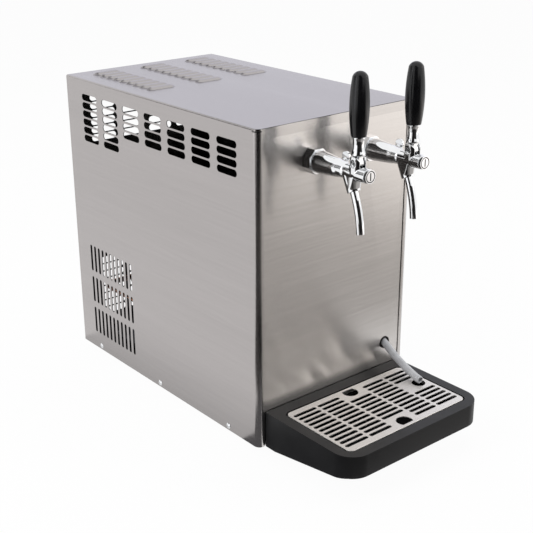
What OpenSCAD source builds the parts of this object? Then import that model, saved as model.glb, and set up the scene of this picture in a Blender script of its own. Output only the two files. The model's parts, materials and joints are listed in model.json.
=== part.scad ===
// Countertop draft beer cooler with two compensator taps, a drip tray and a side-vented steel cabinet.
// Millimetres, +Z up, +X to the right as seen from the front, the taps face -Y.
// Pieces are drawn from the cabinet's front plane and its lower edge, then set on the feet.

/* [Cabinet] */
// Width over the bent cover
cab_w = 254; // [250:1:284]
// Depth from the front face to the rear face
cab_d = 419; // [410:1:460]
// Height of the cover without the feet
cab_h = 405; // [398:1:440]
// Thickness of the cover and panel sheets
sheet = 1; // [0.8:0.1:1.4]
// Bend radius along the long top edges
edge_r = 2.5; // [2:0.1:4]
// Bend radius of the upright front corners
corner_r = 8; // [6:0.5:9]
// Width of the upright front returns
side_lap = 10; // [9.5:0.5:13]
// Height of the front return under the roof
top_lap = 12.5; // [10:0.5:15]
// Height of the base pan's upturned edges
base_lip = 16; // [12:1:22]
// Height of the rubber feet
foot_h = 12; // [9:1:20]
// Diameter of the feet where they meet the base
foot_d = 28; // [22:1:34]
// Distance of the feet from the cabinet's sides, at their centres
foot_inset = 42; // [36:1:50]

/* [Upper side vents] */
// Length of one slot
vent_len = 38; // [30:1:44]
// Height of one slot
vent_slot = 9; // [6:0.5:10]
// Columns along the side
vent_cols = 7; // [4:1:7]
// Columns at the rear that run further down
vent_tall_cols = 2; // [0:1:3]
// Slots in a short column
vent_rows = 4; // [2:1:5]
// Slots in a tall column
vent_tall_rows = 6; // [4:1:7]
// Spacing of the columns
vent_col_pitch = 50.9; // [46:0.1:52]
// Spacing of the slots in a column
vent_row_pitch = 11.4; // [11:0.1:14]
// First slot's distance behind the front
vent_front = 36; // [24:1:44]
// Top slot's distance under the roof
vent_drop = 20; // [14:1:28]

/* [Lower side vents] */
// Width of one upright slot
low_slot_w = 5; // [3:0.5:6]
// Height of one upright slot
low_slot_h = 40; // [30:1:44]
// Slots in one row
low_cols = 11; // [6:1:12]
// Rows of slots
low_rows = 3; // [2:1:4]
// Spacing of the slots along the side
low_col_pitch = 10.3; // [9:0.1:11]
// Spacing of the rows
low_row_pitch = 49; // [46:1:56]
// First slot's centre behind the front
low_front = 279; // [250:1:284]
// Lowest slot's distance above the lower edge
low_rise = 25.5; // [22:0.5:34]

/* [Roof louvres] */
// Length of one louvre across the roof
louvre_len = 45; // [36:1:56]
// Depth of one louvre from its foot to its mouth
louvre_deep = 9; // [7:0.5:11]
// Rise of one louvre above the roof
louvre_rise = 3; // [2.4:0.1:4]
// Louvres in one group
louvre_rows = 9; // [4:1:9]
// Spacing of the louvres
louvre_pitch = 16.5; // [14:0.5:17]
// Spacing of the three groups
louvre_group_pitch = 78; // [64:1:80]
// First louvre's foot behind the front
louvre_front = 251; // [200:1:256]

/* [Rear panel] */
// Width of the cover's rear returns
rear_lap = 12; // [9:1:16]
// Length of one rear slot
rear_slot_len = 40; // [30:1:42]
// Height of one rear slot
rear_slot_h = 10; // [6:0.5:10.5]
// Slots side by side under the roof
rear_cols = 4; // [2:1:4]
// Rows under the roof
rear_rows = 6; // [3:1:6]
// Rows beside the compressor
rear_low_rows = 8; // [4:1:8]
// Spacing of the slots side by side
rear_col_pitch = 49; // [46:1:52]
// Spacing of the rows
rear_row_pitch = 11.8; // [11.5:0.1:13]
// Top row's distance under the roof
rear_drop = 32; // [26:1:36]
// Lowest row's distance above the lower edge
rear_rise = 32; // [24:1:40]

/* [Taps] */
// Distance between the two taps
tap_gap = 88; // [76:1:96]
// Height of the tap axis above the cabinet's lower edge
tap_z = 357; // [345:1:366]
// Width of the eight-sided collar at the panel, across its flats
collar_d = 29.5; // [28:0.5:32]
// Thickness of the collar
collar_t = 13; // [10:0.5:14]
// Diameter of the body behind the collar
body_rear_d = 27; // [25:0.5:28.5]
// Diameter of the body's front barrel
body_front_d = 17; // [16:0.5:19]
// Reach of the body's front end from the panel
body_reach = 94; // [92:0.5:100]
// Diameter of the threaded shank through the panel
shank_d = 20; // [18:0.5:21]
// Length of the shank behind the panel
shank_tail = 45; // [36:1:52]
// Reach of the handle pivot from the panel
pivot_reach = 76.5; // [76:0.5:79]
// Height of the handle pivot above the tap axis
pivot_rise = 12; // [11.5:0.5:14]
// Diameter of the pivot pin
pin_d = 5; // [4:0.5:6]
// Radius of the ears round the pivot
ear_r = 8.4; // [8:0.1:9]
// Width over both ears
ear_w = 17.5; // [17:0.5:19]
// Thickness of the handle's tongue between the ears
tongue_t = 7.4; // [6.6:0.1:7.8]
// Outer diameter of the spout tube
spout_d = 9.4; // [8:0.1:10]
// Wall of the spout tube
spout_wall = 1; // [0.8:0.1:1.4]
// Bend radius of the spout's centre line
spout_bend_r = 140; // [120:1:160]
// Forward lean of the spout where it leaves the body, from the vertical
spout_lean = 24; // [20:1:27]
// Lean of the spout at its mouth
spout_end_lean = 4; // [2:1:8]
// Length of the spout socket under the body axis
socket_len = 25; // [24:0.5:28]

/* [Tap handles] */
// Length of the black grip
grip_len = 72; // [60:1:90]
// Largest diameter of the grip
grip_d = 22.7; // [21:0.1:26]
// Diameter of the grip at its foot
grip_foot_d = 17.4; // [16:0.1:19]
// Height of the chrome stem between pivot and grip
stem_len = 30; // [27:0.5:36]
// Diameter of the stem at its waist
stem_waist_d = 13; // [11:0.1:14]

/* [Flow levers] */
// Reach of the flow lever's spindle from the panel
flow_reach = 34; // [33:0.5:36]
// Diameter of the spindle
spindle_d = 6; // [5:0.5:6.5]
// Length of the lever blade
flow_blade_len = 17; // [15:0.5:22]

/* [Drip tray] */
// Distance of the tray's sides inside the cabinet's sides
tray_inset = 11; // [8:0.5:14]
// Depth of the tray in front of the cabinet
tray_d = 151; // [148:1:170]
// Height of the tray's rim above the cabinet's lower edge
tray_h = 48; // [44:1:56]
// Rise of the underside at the front
tray_nose = 19; // [14:1:22]
// Radius of the tray's front corners
tray_corner_r = 28; // [20:1:34]
// Wall of the tray
tray_wall = 3; // [2.5:0.1:4]
// Length of the runners under the cabinet
runner_len = 70; // [50:1:90]
// Width of one runner
runner_w = 24; // [18:1:28]
// Distance between the two runners
runner_gap = 90; // [80:1:96]

/* [Drip grate] */
// Width of the tray's rim beside the grate
tray_side_rim = 15.5; // [14:0.5:17]
// Depth of the grate
grate_d = 116; // [114:1:118]
// Height of the grate's folded lips
grate_lip = 8; // [6:0.5:12]
// Sheet of the grate
grate_sheet = 1.2; // [1:0.1:1.6]
// Corner radius of the grate
grate_corner_r = 8; // [6:0.5:10]
// Width of one grate slot
grate_slot_w = 5.6; // [4:0.1:6]
// Width of the bars between the slot columns
grate_bar = 3; // [2.5:0.1:5]
// Spacing of the slot rows
grate_row_pitch = 9.1; // [8.6:0.1:9.3]
// Radius of the two finger holes
finger_r = 10.6; // [9:0.1:11]
// Diameter of the hole under the drain hose
drain_hole_d = 18; // [17.5:0.5:20]

/* [Drain hose] */
// Outer diameter of the hose
hose_d = 10; // [8:0.5:10]
// Bore of the rubber grommet
grommet_bore_d = 13.2; // [13.2:0.2:13.6]
// Diameter of the panel hole round the grommet
grommet_hole_d = 15.2; // [15.2:0.2:16]

/* [Cold box] */
// Distance of the insulated box from the cabinet's sides
box_gap = 27; // [22:1:29]
// Depth of the insulated box
box_d = 160; // [140:1:170]
// Height of the insulated box without its lid
box_h = 260; // [255:1:266]
// Wall of the insulated box
box_wall = 12; // [8:1:16]
// Thickness of the lid
lid_t = 12; // [8:1:16]
// Distance of the box behind the front plane
box_front = 26; // [24:1:30]

/* [Cooling unit] */
// Diameter of the compressor shell
comp_d = 100; // [90:1:104]
// Height of the compressor shell
comp_h = 130; // [118:1:136]
// Height of the rubber mounts under the compressor
comp_mount_h = 14; // [10:1:18]
// Thickness of the condenser
cond_t = 24; // [20:1:26]
// Length of the condenser along the side
cond_len = 160; // [150:1:164]
// Height of the condenser
cond_h = 170; // [160:1:176]
// Fins of the condenser
cond_fins = 20; // [12:1:24]
// Diameter of the fan
fan_d = 132; // [110:1:136]
// Number of fan blades
fan_blades_n = 5; // [3:1:7]
// Pitch of the fan blades
fan_pitch = 28; // [20:1:34]

/* [Hidden] */
$fn = 64;

// Gap between pieces that are fastened to each other
fit = 0.2;
// Gap between pieces that move past each other
run = 0.4;
// Radial clearance of a pin in its bore
pin_play = 0.05;
// Overshoot of cuts past a face
cut = 1;

// Reach of the tray in front of the cabinet, and of the fittings behind it
tray_gap = 0.5;
inlet_out = 22;
tray_reach = tray_gap + tray_d;
total_d = tray_reach + cab_d + inlet_out;
y_front = tray_reach - total_d / 2;
in_w = cab_w - 2 * sheet;
win_w = cab_w - 2 * side_lap;
win_top = cab_h - top_lap;

// Front panel
panel_gap = 0.5;
panel_set = 0.4;
panel_r = 2;
panel_return = 12;
panel_w = win_w - 2 * panel_gap;
panel_low = sheet + fit;
panel_back = panel_set + sheet;

// Base pan and rear panel
base_front = panel_back + fit;
rear_in = cab_d - sheet - fit - sheet;
base_w = in_w - 2 * fit;
base_d = rear_in - fit - base_front;
rear_fit = 1;
rear_w = in_w - 2 * rear_fit;

// Screws along the lower edge of the cover
screw_head_d = 8;
screw_d = 4;
screw_z = 6;
screw_first = 61;
screw_n = 3;
screw_pitch = (cab_d - 2 * screw_first + 12) / (screw_n - 1);
screw_hole_d = screw_d + 2 * fit;
rear_screw_n = 3;

// Taps, drawn with the panel at 0 and the axis running forward
body_back = collar_t;
body_cone_end = 52;
body_neck_end = 60;
rear_bore_d = 16;
front_bore_d = 10.4;
seat_at = 54;
barrel_r = body_front_d / 2;
plug_t = 3;
plug_len = 6;
socket_at = 61.5;
socket_top_d = 16.6;
socket_end_d = 15.8;
web_at = 68.5;
web_lean = 5;
web_top_d = 25;
web_end_d = 15.4;
web_len = 20;
web_w = body_front_d - 1;
spout_seat = 9;
shank_bore_d = 10;
nut_af = 30;
nut_t = 8;
disc_clear = 0.6;
stem_foot = ear_r + disc_clear;
stem_foot_d = 17;
stem_top_d = 14.8;
plunger_d = front_bore_d - 2 * run;
eye_r = pivot_rise - plunger_d / 2 - 2 * run;
finger_d = 5;
slot_play = 2.2;
plunger_tail = seat_at - 4;
plunger_nose = pivot_reach + 8;
tongue_slot = tongue_t + 2 * run;
ear_bore = pin_d + 2 * pin_play;
pin_sink = 1.8;
pin_recess_d = 8;
stud_r = 4;
stud_len = 14;
shank_lap = 2;
shank_nose = body_back + shank_lap;
flow_lean = 35;
flow_blade_t = 3;
flow_hub_d = 11;
flow_boss_out = 15;
cone_d = 9;
cone_back = 8;
grip_waist = 33;
grip_dome = 6;

// Tray and grate
tray_w = cab_w - 2 * tray_inset;
grate_w = tray_w - 2 * tray_side_rim;
grate_back = 18.7;
grate_gap = 1.8;
ledge_w = 5;
ledge_clear = 0.3;
grate_y = -tray_gap - grate_back - grate_d / 2;
pocket_z = tray_h - grate_lip - ledge_clear;
runner_t = 3;
guide_t = 1;
grate_rows = 11;
grate_cols = 5;
grate_end = 2.5;
grate_col_pitch = (grate_w - 2 * grate_end) / grate_cols;
grate_slot_len = grate_col_pitch - grate_bar;
finger_flat = 6.4;
finger_out = 2;
drain_in = 14.5;
drain_x = grate_w / 2 - drain_in;
drain_row = 4;
drain_y = grate_y + ((grate_rows - 1) / 2 - drain_row) * grate_row_pitch;

// Insulated box
box_w = cab_w - 2 * box_gap;
box_z = sheet + fit;
box_top = box_z + box_h;
box_back = box_front + box_d;
stub_d = 8;
stub_len = 4;

// Drain hose from the box's overflow stub to the grate, as y and z along a sagging curve
hose_sag = [
  [22, 87], [17, 87], [12, 85.7], [7, 83.4], [2, 80.7], [-3, 78], [-8.5, 75.2], [-16, 71.2], [-25, 66.8],
  [-34, 63.1], [-43, 59.9], [-51, 57.3], [-57, 55.5], [-62, 54.2], [-67, 53.4], [-71, 53.1]
];
hose_side = 36;
hose_x = cab_w / 2 - hose_side;
hose_route = [
  for (p = hose_sag) let (t = max(0, -p.x) / (-drain_y)) [hose_x + t * (drain_x - hose_x), p.x, p.y]
];
grommet_z = 80;
grommet_flange = 1;
grommet_rim = 0.9;

// Cooling unit
comp_x = -38;
comp_y = 322;
comp_z = sheet + comp_mount_h;
comp_foot = [48, 44];
comp_plate = 3;
cond_x = in_w / 2 - fit - 2 - cond_t;
cond_y = 306;
cond_z = 8;
fin_t = 0.8;
fan_z = cond_z + cond_h / 2;
shroud_t = 12;
shroud_x = cond_x - fit - shroud_t;
motor_d = 46;
motor_len = 34;
hub_d = 38;
shaft_d = 6;
copper_d = 8;
suction_in = 20;
suction_z = 170;
suction_low_z = 96;
suction_out = 30;
suction_round = 12;
terminal_box = [44, 22, 56];
terminal_in = 10;
terminal_rise = 34;
rear_side = 52;
rear_x = cab_w / 2 - rear_side;
inlet_z = 250;
inlet_x = 28;
inlet_d = 22;
inlet_bore_d = 9.6;
line_d = 9.5;
tap_line_y = 75;
tap_line_dip = 68;
block_head = 44;
block_well = 30;
supply_lead = 40;
supply_end = 50;
drier_r = 11;
inlet_neck_d = 16;
inlet_flange = 3;
drier_x = 60;
drier_y = 20;
drier_z = 80;
drier_len = 90;
thermostat_z = 205;
thermostat_neck_d = 10;
switch_z = 150;
switch_w = 14;
switch_h = 20;
power_z = 92;
power_w = 27;
power_h = 20;

// Direction and sweep helpers for tubes
function unit(v) = v / norm(v);
function tangent(p, i) = unit(p[min(i + 1, len(p) - 1)] - p[max(i - 1, 0)]);
function square_to(n, t) = unit(n - t * (n * t));
function carried(p, i, n) =
  i == len(p) ? [] : let (m = square_to(n, tangent(p, i))) concat([m], carried(p, i + 1, m));
function rounded_corner(a, b, c, r, n) =
  let (p = b + unit(a - b) * r, q = b + unit(c - b) * r)
  [for (i = [0 : n]) let (t = i / n) (1 - t) * (1 - t) * p + 2 * t * (1 - t) * b + t * t * q];
function rounded_route(p, r) =
  concat(
    [p[0]],
    [for (i = [1 : len(p) - 2]) each rounded_corner(p[i - 1], p[i], p[i + 1], r, 5)],
    [p[len(p) - 1]]
  );

// A closed tube swept along the points of a route
module tube(route, d, sides = 10) {
  last = len(route) - 1;
  side = carried(route, 0, [0.31, 0.52, 0.79]);
  points = [
    for (i = [0 : last])
      let (t = tangent(route, i), u = side[i], v = cross(t, u))
      for (k = [0 : sides - 1]) route[i] + d / 2 * (u * cos(360 * k / sides) + v * sin(360 * k / sides))
  ];
  walls = [
    for (i = [0 : last - 1], k = [0 : sides - 1])
      let (a = i * sides + k, b = i * sides + (k + 1) % sides)
      each [[a, a + sides, b], [b, a + sides, b + sides]]
  ];
  start = [for (k = [1 : sides - 2]) [0, k, k + 1]];
  finish = [for (k = [1 : sides - 2]) [last * sides, last * sides + k + 1, last * sides + k]];
  polyhedron(points, concat(start, walls, finish));
}

// Moves what is drawn from the front plane and lower edge onto the feet
module seated() {
  translate([0, y_front, foot_h]) children();
}

// Extrudes a sketch along X, with its x along Y and its y along Z
module along_x(x0, x1) {
  translate([x0, 0, 0]) rotate([90, 0, 90]) linear_extrude(x1 - x0) children();
}

// Extrudes a sketch along Y, with its x along X and its y along Z
module along_y(y0, y1) {
  translate([0, y1, 0]) rotate([90, 0, 0]) linear_extrude(y1 - y0) children();
}

// Turns a revolve so that its axis runs forward from the panel
module forward() {
  rotate([90, 0, 0]) children();
}

module slot(len, wid) {
  square([len - wid, wid], center = true);
  for (s = [-1, 1]) translate([s * (len - wid) / 2, 0]) circle(d = wid);
}

module rounded_plate(w, d, r) {
  square([w - 2 * r, d], center = true);
  square([w, d - 2 * r], center = true);
  for (x = [-1, 1], y = [-1, 1]) translate([x * (w / 2 - r), y * (d / 2 - r)]) circle(r);
}

// A rectangle from y = 0 to d whose two corners at y = 0 are round
module round_front(w, d, r) {
  translate([-w / 2, r]) square([w, d - r]);
  translate([r - w / 2, 0]) square([w - 2 * r, d]);
  for (s = [-1, 1]) translate([s * (w / 2 - r), r]) circle(r);
}

// A rectangle from y = low to h whose two corners at y = h are round
module round_top(w, low, h, r) {
  translate([-w / 2, low]) square([w, h - r - low]);
  translate([r - w / 2, low]) square([w - 2 * r, h - low]);
  for (s = [-1, 1]) translate([s * (w / 2 - r), h - r]) circle(r);
}

// The cabinet's envelope, drawn in by t on its roof and walls
module envelope(t, low) {
  intersection() {
    translate([0, t, low]) linear_extrude(cab_h - t - low)
      round_front(cab_w - 2 * t, cab_d - 2 * t, corner_r - t);
    along_y(0, cab_d) round_top(cab_w - 2 * t, low - cut, cab_h - t, edge_r - t);
  }
}

module upper_vent_sketch() {
  for (c = [0 : vent_cols - 1]) {
    rows = c < vent_cols - vent_tall_cols ? vent_rows : vent_tall_rows;
    for (r = [0 : rows - 1])
      translate([
        vent_front + vent_len / 2 + c * vent_col_pitch,
        cab_h - vent_drop - vent_slot / 2 - r * vent_row_pitch
      ]) slot(vent_len, vent_slot);
  }
}

module lower_vent_sketch() {
  for (c = [0 : low_cols - 1], r = [0 : low_rows - 1])
    translate([low_front + c * low_col_pitch, low_rise + low_slot_h / 2 + r * low_row_pitch])
      rotate(90) slot(low_slot_h, low_slot_w);
}

// Profile of a louvre, from its mouth at 0 to its foot, drawn in by t
module louvre_profile(t, from) {
  r = (louvre_deep * louvre_deep + louvre_rise * louvre_rise) / (2 * louvre_rise);
  foot = sqrt((r - t) * (r - t) - (r - louvre_rise) * (r - louvre_rise));
  intersection() {
    translate([0, louvre_rise - r]) circle(r - t, $fn = 128);
    translate([from, 0]) square([foot - from, louvre_rise]);
  }
  translate([from, -sheet * (t > 0 ? 2 : 0.5)]) square([foot - from, sheet * (t > 0 ? 2.1 : 0.6)]);
}

// A pressed louvre with round ends, its foot to the front and its mouth to the rear
module louvre(t) {
  half = louvre_len / 2 - louvre_deep;
  translate([0, louvre_deep, 0]) {
    along_x(-half, half) mirror([1, 0]) louvre_profile(t, t > 0 ? -t : 0);
    translate([half, 0, 0]) rotate(-90) rotate_extrude(angle = 90) louvre_profile(t, 0);
    translate([-half, 0, 0]) rotate(180) rotate_extrude(angle = 90) louvre_profile(t, 0);
  }
}

module louvres(t) {
  for (g = [-1 : 1], r = [0 : louvre_rows - 1])
    translate([g * louvre_group_pitch, louvre_front + r * louvre_pitch, cab_h]) louvre(t);
}

module side_screw_holes() {
  for (i = [0 : screw_n - 1])
    translate([0, screw_first + i * screw_pitch, screw_z]) rotate([0, 90, 0])
      cylinder(d = screw_hole_d, h = cab_w + 2 * cut, center = true);
}

// Places on the rear returns where the rear panel is screwed on
module at_rear_screws() {
  rise = (cab_h - 4 * base_lip) / (rear_screw_n - 1);
  for (s = [-1, 1], i = [0 : rear_screw_n - 1])
    translate([s * (cab_w - rear_lap) / 2, cab_d, 2 * base_lip + i * rise]) children();
}

module wrap_cover() {
  notch = 1.2;
  color("silver") seated() difference() {
    union() {
      envelope(0, 0);
      louvres(0);
    }
    envelope(sheet, -cut);
    along_y(-cut, sheet + cut) translate([-win_w / 2, -cut]) square([win_w, win_top + cut]);
    along_y(cab_d - sheet - cut, cab_d + cut)
      translate([rear_lap - cab_w / 2, -cut]) square([cab_w - 2 * rear_lap, cab_h - rear_lap + cut]);
    along_x(-cab_w / 2 - cut, cab_w / 2 + cut) upper_vent_sketch();
    along_x(-cab_w / 2 - cut, cab_w / 2 + cut) lower_vent_sketch();
    louvres(sheet);
    side_screw_holes();
    at_rear_screws() rotate([90, 0, 0]) cylinder(d = screw_hole_d, h = 4 * sheet, center = true);
    for (s = [-1, 1])
      translate([s * (cab_w - corner_r + cut) / 2, (corner_r - cut) / 2, cab_h - edge_r - notch / 2])
        cube([corner_r + cut, corner_r + cut, notch], center = true);
  }
}

module base_pan() {
  corner = (base_w - panel_w) / 2 + sheet + fit;
  color("lightgray") seated() difference() {
    translate([0, base_front, 0]) linear_extrude(base_lip)
      round_front(base_w, base_d, corner_r - base_front);
    translate([0, base_front + sheet, sheet]) linear_extrude(base_lip)
      round_front(base_w - 2 * sheet, base_d - 2 * sheet, corner_r - base_front - sheet);
    for (s = [-1, 1])
      translate([s * (base_w / 2 - corner / 2), panel_return / 2, base_lip / 2 + sheet])
        cube([corner + cut, panel_return + 4 * cut, base_lip], center = true);
    side_screw_holes();
    at_comp_feet() translate([0, 0, -cut]) cylinder(d = 8, h = sheet + 2 * cut);
  }
}

module at_feet() {
  for (x = [-1, 1], y = [foot_inset, cab_d - foot_inset])
    translate([x * (cab_w / 2 - foot_inset), y, 0]) children();
}

module rubber_feet() {
  tread_d = foot_d - 4;
  recess_d = 12;
  recess = foot_h / 2;
  color("dimgray") seated() at_feet() mirror([0, 0, 1]) rotate_extrude() polygon([
    [0, 0], [foot_d / 2, 0], [tread_d / 2, foot_h], [recess_d / 2, foot_h], [recess_d / 2, foot_h - recess],
    [0, foot_h - recess]
  ]);
}

module front_panel() {
  color("gainsboro") seated() difference() {
    pan(0, panel_low);
    pan(sheet, panel_low - cut);
    at_taps() forward() cylinder(d = shank_d + 2 * fit, h = 4 * panel_return, center = true);
    translate([hose_x, 0, grommet_z]) forward()
      cylinder(d = grommet_hole_d, h = 4 * panel_return, center = true);
  }
}

// The front panel's envelope, drawn in by t, with its edges bent back
module pan(t, low) {
  deep = panel_return + (t > 0 ? cut : 0);
  intersection() {
    translate([0, panel_set + t, low]) linear_extrude(win_top - panel_gap - t - low)
      round_front(panel_w - 2 * t, deep - t, panel_r - t);
    along_x(-panel_w / 2, panel_w / 2) translate([panel_set + t, 0]) rotate(90) mirror([0, 1])
      round_top_side(low, win_top - panel_gap - t, deep - t, panel_r - t);
  }
}

// A rectangle from x = low to high and y = 0 to d whose corner at (high, 0) is round
module round_top_side(low, high, d, r) {
  translate([low, 0]) square([high - r - low, d]);
  translate([low, r]) square([high - low, d - r]);
  translate([high - r, r]) circle(r);
}

module rear_slot_sketch() {
  for (c = [0 : rear_cols - 1]) {
    x = (c - (rear_cols - 1) / 2) * rear_col_pitch;
    for (r = [0 : rear_rows - 1])
      translate([x, cab_h - rear_drop - rear_slot_h / 2 - r * rear_row_pitch])
        slot(rear_slot_len, rear_slot_h);
    if (c < rear_cols / 2)
      for (r = [0 : rear_low_rows - 1])
        translate([x, rear_rise + rear_slot_h / 2 + r * rear_row_pitch]) slot(rear_slot_len, rear_slot_h);
  }
}

module rear_panel() {
  color("lightgray") seated() difference() {
    along_y(rear_in, rear_in + sheet)
      translate([-rear_w / 2, sheet + fit]) square([rear_w, cab_h - 2 * sheet - fit - rear_fit]);
    along_y(rear_in - cut, cab_d) rear_slot_sketch();
    at_rear_screws() rotate([90, 0, 0]) cylinder(d = screw_hole_d, h = 8 * sheet, center = true);
    at_inlets() forward() cylinder(d = inlet_neck_d + 2 * fit, h = 8 * sheet, center = true);
    at_rear(thermostat_z) forward() cylinder(d = thermostat_neck_d + 2 * fit, h = 8 * sheet, center = true);
    at_rear(switch_z) cube([switch_w + 2 * fit, 8 * sheet, switch_h + 2 * fit], center = true);
    at_rear(power_z) cube([power_w + 2 * fit, 8 * sheet, power_h + 2 * fit], center = true);
  }
}

module screw(len) {
  head_t = 1.8;
  translate([0, 0, -len]) cylinder(d = screw_d, h = len);
  difference() {
    intersection() {
      cylinder(d = screw_head_d, h = head_t);
      translate([0, 0, head_t - screw_head_d * 0.8]) sphere(screw_head_d * 0.8);
    }
    for (a = [0, 90]) rotate(a) translate([0, 0, head_t])
      cube([screw_head_d * 0.55, 1, head_t], center = true);
  }
}

module cover_screws() {
  length = 2 * sheet + 4;
  color("silver") seated() {
    for (s = [-1, 1], i = [0 : screw_n - 1])
      translate([s * cab_w / 2, screw_first + i * screw_pitch, screw_z]) rotate([0, s * 90, 0]) screw(length);
    at_rear_screws() rotate([-90, 0, 0]) screw(length);
  }
}

module tray_guides() {
  inside = runner_w + 2 * run;
  deep = runner_t + 2 * run;
  color("darkgray") seated() for (s = [-1, 1]) translate([s * runner_gap / 2, 0, 0])
    along_y(base_front, runner_len + 8) difference() {
      translate([-inside / 2 - guide_t, -deep - guide_t]) square([inside + 2 * guide_t, deep + guide_t]);
      translate([-inside / 2, -deep]) square([inside, deep + cut]);
    }
}

module at_taps() {
  for (s = [-1, 1]) translate([s * tap_gap / 2, 0, tap_z]) children();
}

module at_tap(s) {
  translate([s * tap_gap / 2, 0, tap_z]) children();
}

module tap_collars() {
  sides = 8;
  half = 180 / sides;
  bevel = 1.5;
  corner_d = collar_d / cos(half);
  color("silver") seated() at_taps() forward() difference() {
    intersection() {
      rotate(half) cylinder(d = corner_d, h = collar_t, $fn = sides);
      cylinder(d1 = corner_d + 2 * collar_t - bevel, d2 = corner_d - bevel, h = collar_t);
    }
    translate([0, 0, -cut]) cylinder(d = shank_d + 2 * fit, h = collar_t + 2 * cut);
  }
}

module tap_shanks() {
  barb_d = 9;
  barb = 8;
  color("silver") seated() at_taps() forward() rotate_extrude() polygon([
    [shank_bore_d / 2, shank_nose], [shank_bore_d / 2, barb - shank_tail], [barb_d / 4, barb - shank_tail],
    [barb_d / 4, -shank_tail], [barb_d / 2, -shank_tail], [barb_d / 2 + 0.8, barb - shank_tail - 1],
    [shank_d / 2, barb - shank_tail], [shank_d / 2, shank_nose]
  ]);
}

module shank_nuts() {
  color("goldenrod") seated() at_taps() forward() translate([0, 0, -panel_back - fit - nut_t]) difference() {
    cylinder(d = nut_af / cos(30), h = nut_t, $fn = 6);
    translate([0, 0, -cut]) cylinder(d = shank_d + 2 * fit, h = nut_t + 2 * cut);
  }
}

// Fork of two ears that carries the handle's pin, drawn with the pivot at the origin
module ears() {
  intersection() {
    along_x(-ear_w / 2, ear_w / 2) {
      circle(ear_r);
      translate([-ear_r, -pivot_rise]) square([2 * ear_r, pivot_rise]);
    }
    translate([0, 0, -pivot_rise]) cylinder(d = ear_w + 1, h = pivot_rise + ear_r + cut);
  }
}

module at_pivot() {
  translate([0, -pivot_reach, pivot_rise]) children();
}

module at_spout() {
  translate([0, -socket_at, 0]) rotate([-spout_lean, 0, 0]) mirror([0, 0, 1]) children();
}

module at_spindle() {
  translate([0, -flow_reach, 0]) rotate([0, 90, 0]) children();
}

module tap_body() {
  flange_r = body_rear_d / 2;
  difference() {
    union() {
      forward() rotate_extrude() polygon([
        [0, body_back], [flange_r - 1, body_back], [flange_r, body_back + 1], [flange_r, body_back + 6],
        [flange_r - 2.4, body_cone_end - 6], [flange_r - 3.2, body_cone_end - 2],
        [barrel_r + 1, body_neck_end - 2], [barrel_r + 0.3, body_neck_end], [barrel_r, body_reach],
        [0, body_reach]
      ]);
      at_pivot() ears();
      at_spout() cylinder(d1 = socket_top_d, d2 = socket_end_d, h = socket_len);
      intersection() {
        translate([0, -web_at, 0]) rotate([-web_lean, 0, 0]) mirror([0, 0, 1])
          cylinder(d1 = web_top_d, d2 = web_end_d, h = web_len);
        cube([web_w, 2 * body_reach, 2 * body_reach], center = true);
      }
      at_spindle() cylinder(d = flow_hub_d, h = flow_boss_out);
    }
    forward() cylinder(d = shank_d + 2 * fit, h = shank_nose + fit);
    forward() cylinder(d = rear_bore_d, h = seat_at);
    forward() cylinder(d = front_bore_d, h = body_reach + cut);
    at_pivot() {
      translate([-tongue_slot / 2, -2 * ear_r, barrel_r - pivot_rise])
        cube([tongue_slot, 4 * ear_r, pivot_rise - barrel_r + ear_r + cut]);
      translate([0, 0, -pivot_rise / 2])
        cube([tongue_slot, 2 * ear_r, pivot_rise], center = true);
      rotate([0, 90, 0]) cylinder(d = ear_bore, h = ear_w + 4 * cut, center = true);
      for (s = [-1, 1]) translate([s * (ear_w / 2 - pin_sink), 0, 0]) rotate([0, s * 90, 0])
        cylinder(d = pin_recess_d, h = 2 * pin_sink + cut);
    }
    at_spout() cylinder(d = spout_d - 2 * spout_wall - 1, h = socket_len);
    at_spout() translate([0, 0, socket_len - spout_seat])
      cylinder(d = spout_d + 2 * fit, h = spout_seat + cut);
    at_spindle() cylinder(d = spindle_d + 2 * pin_play, h = flow_boss_out + cut);
  }
}

module tap_end_caps() {
  groove = 0.8;
  color("silver") seated() at_taps() forward() translate([0, 0, body_reach]) difference() {
    union() {
      translate([0, 0, -plug_len]) cylinder(d = front_bore_d - 2 * fit, h = plug_len + plug_t);
      translate([0, 0, fit]) cylinder(d = body_front_d - 1, h = plug_t - fit);
    }
    translate([0, 0, plug_t - groove]) difference() {
      cylinder(d = body_front_d - 3.4, h = groove + cut);
      translate([0, 0, -cut]) cylinder(d = body_front_d - 5.4, h = groove + 3 * cut);
    }
    translate([0, 0, plug_t]) cube([1.4, body_front_d - 8, 2 * groove], center = true);
  }
}

module pivot_pins() {
  recess_d = pin_d * 0.5;
  color("dimgray") seated() at_taps() at_pivot() rotate([0, 90, 0]) difference() {
    cylinder(d = pin_d, h = ear_w - 2 * pin_sink, center = true);
    for (s = [-1, 1]) translate([0, 0, s * (ear_w / 2 - pin_sink)])
      cylinder(d = recess_d, h = 3, center = true, $fn = 6);
  }
}

module spout() {
  turn = spout_lean - spout_end_lean;
  color("silver") at_spout() translate([0, 0, socket_len - spout_seat + fit]) {
    straight = spout_seat;
    difference() {
      cylinder(d = spout_d, h = straight);
      translate([0, 0, -cut]) cylinder(d = spout_d - 2 * spout_wall, h = straight + 2 * cut);
    }
    translate([0, spout_bend_r, straight]) rotate([90, 0, -90]) rotate_extrude(angle = turn)
      translate([spout_bend_r, 0]) difference() {
        circle(d = spout_d);
        circle(d = spout_d - 2 * spout_wall);
      }
  }
}

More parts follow.
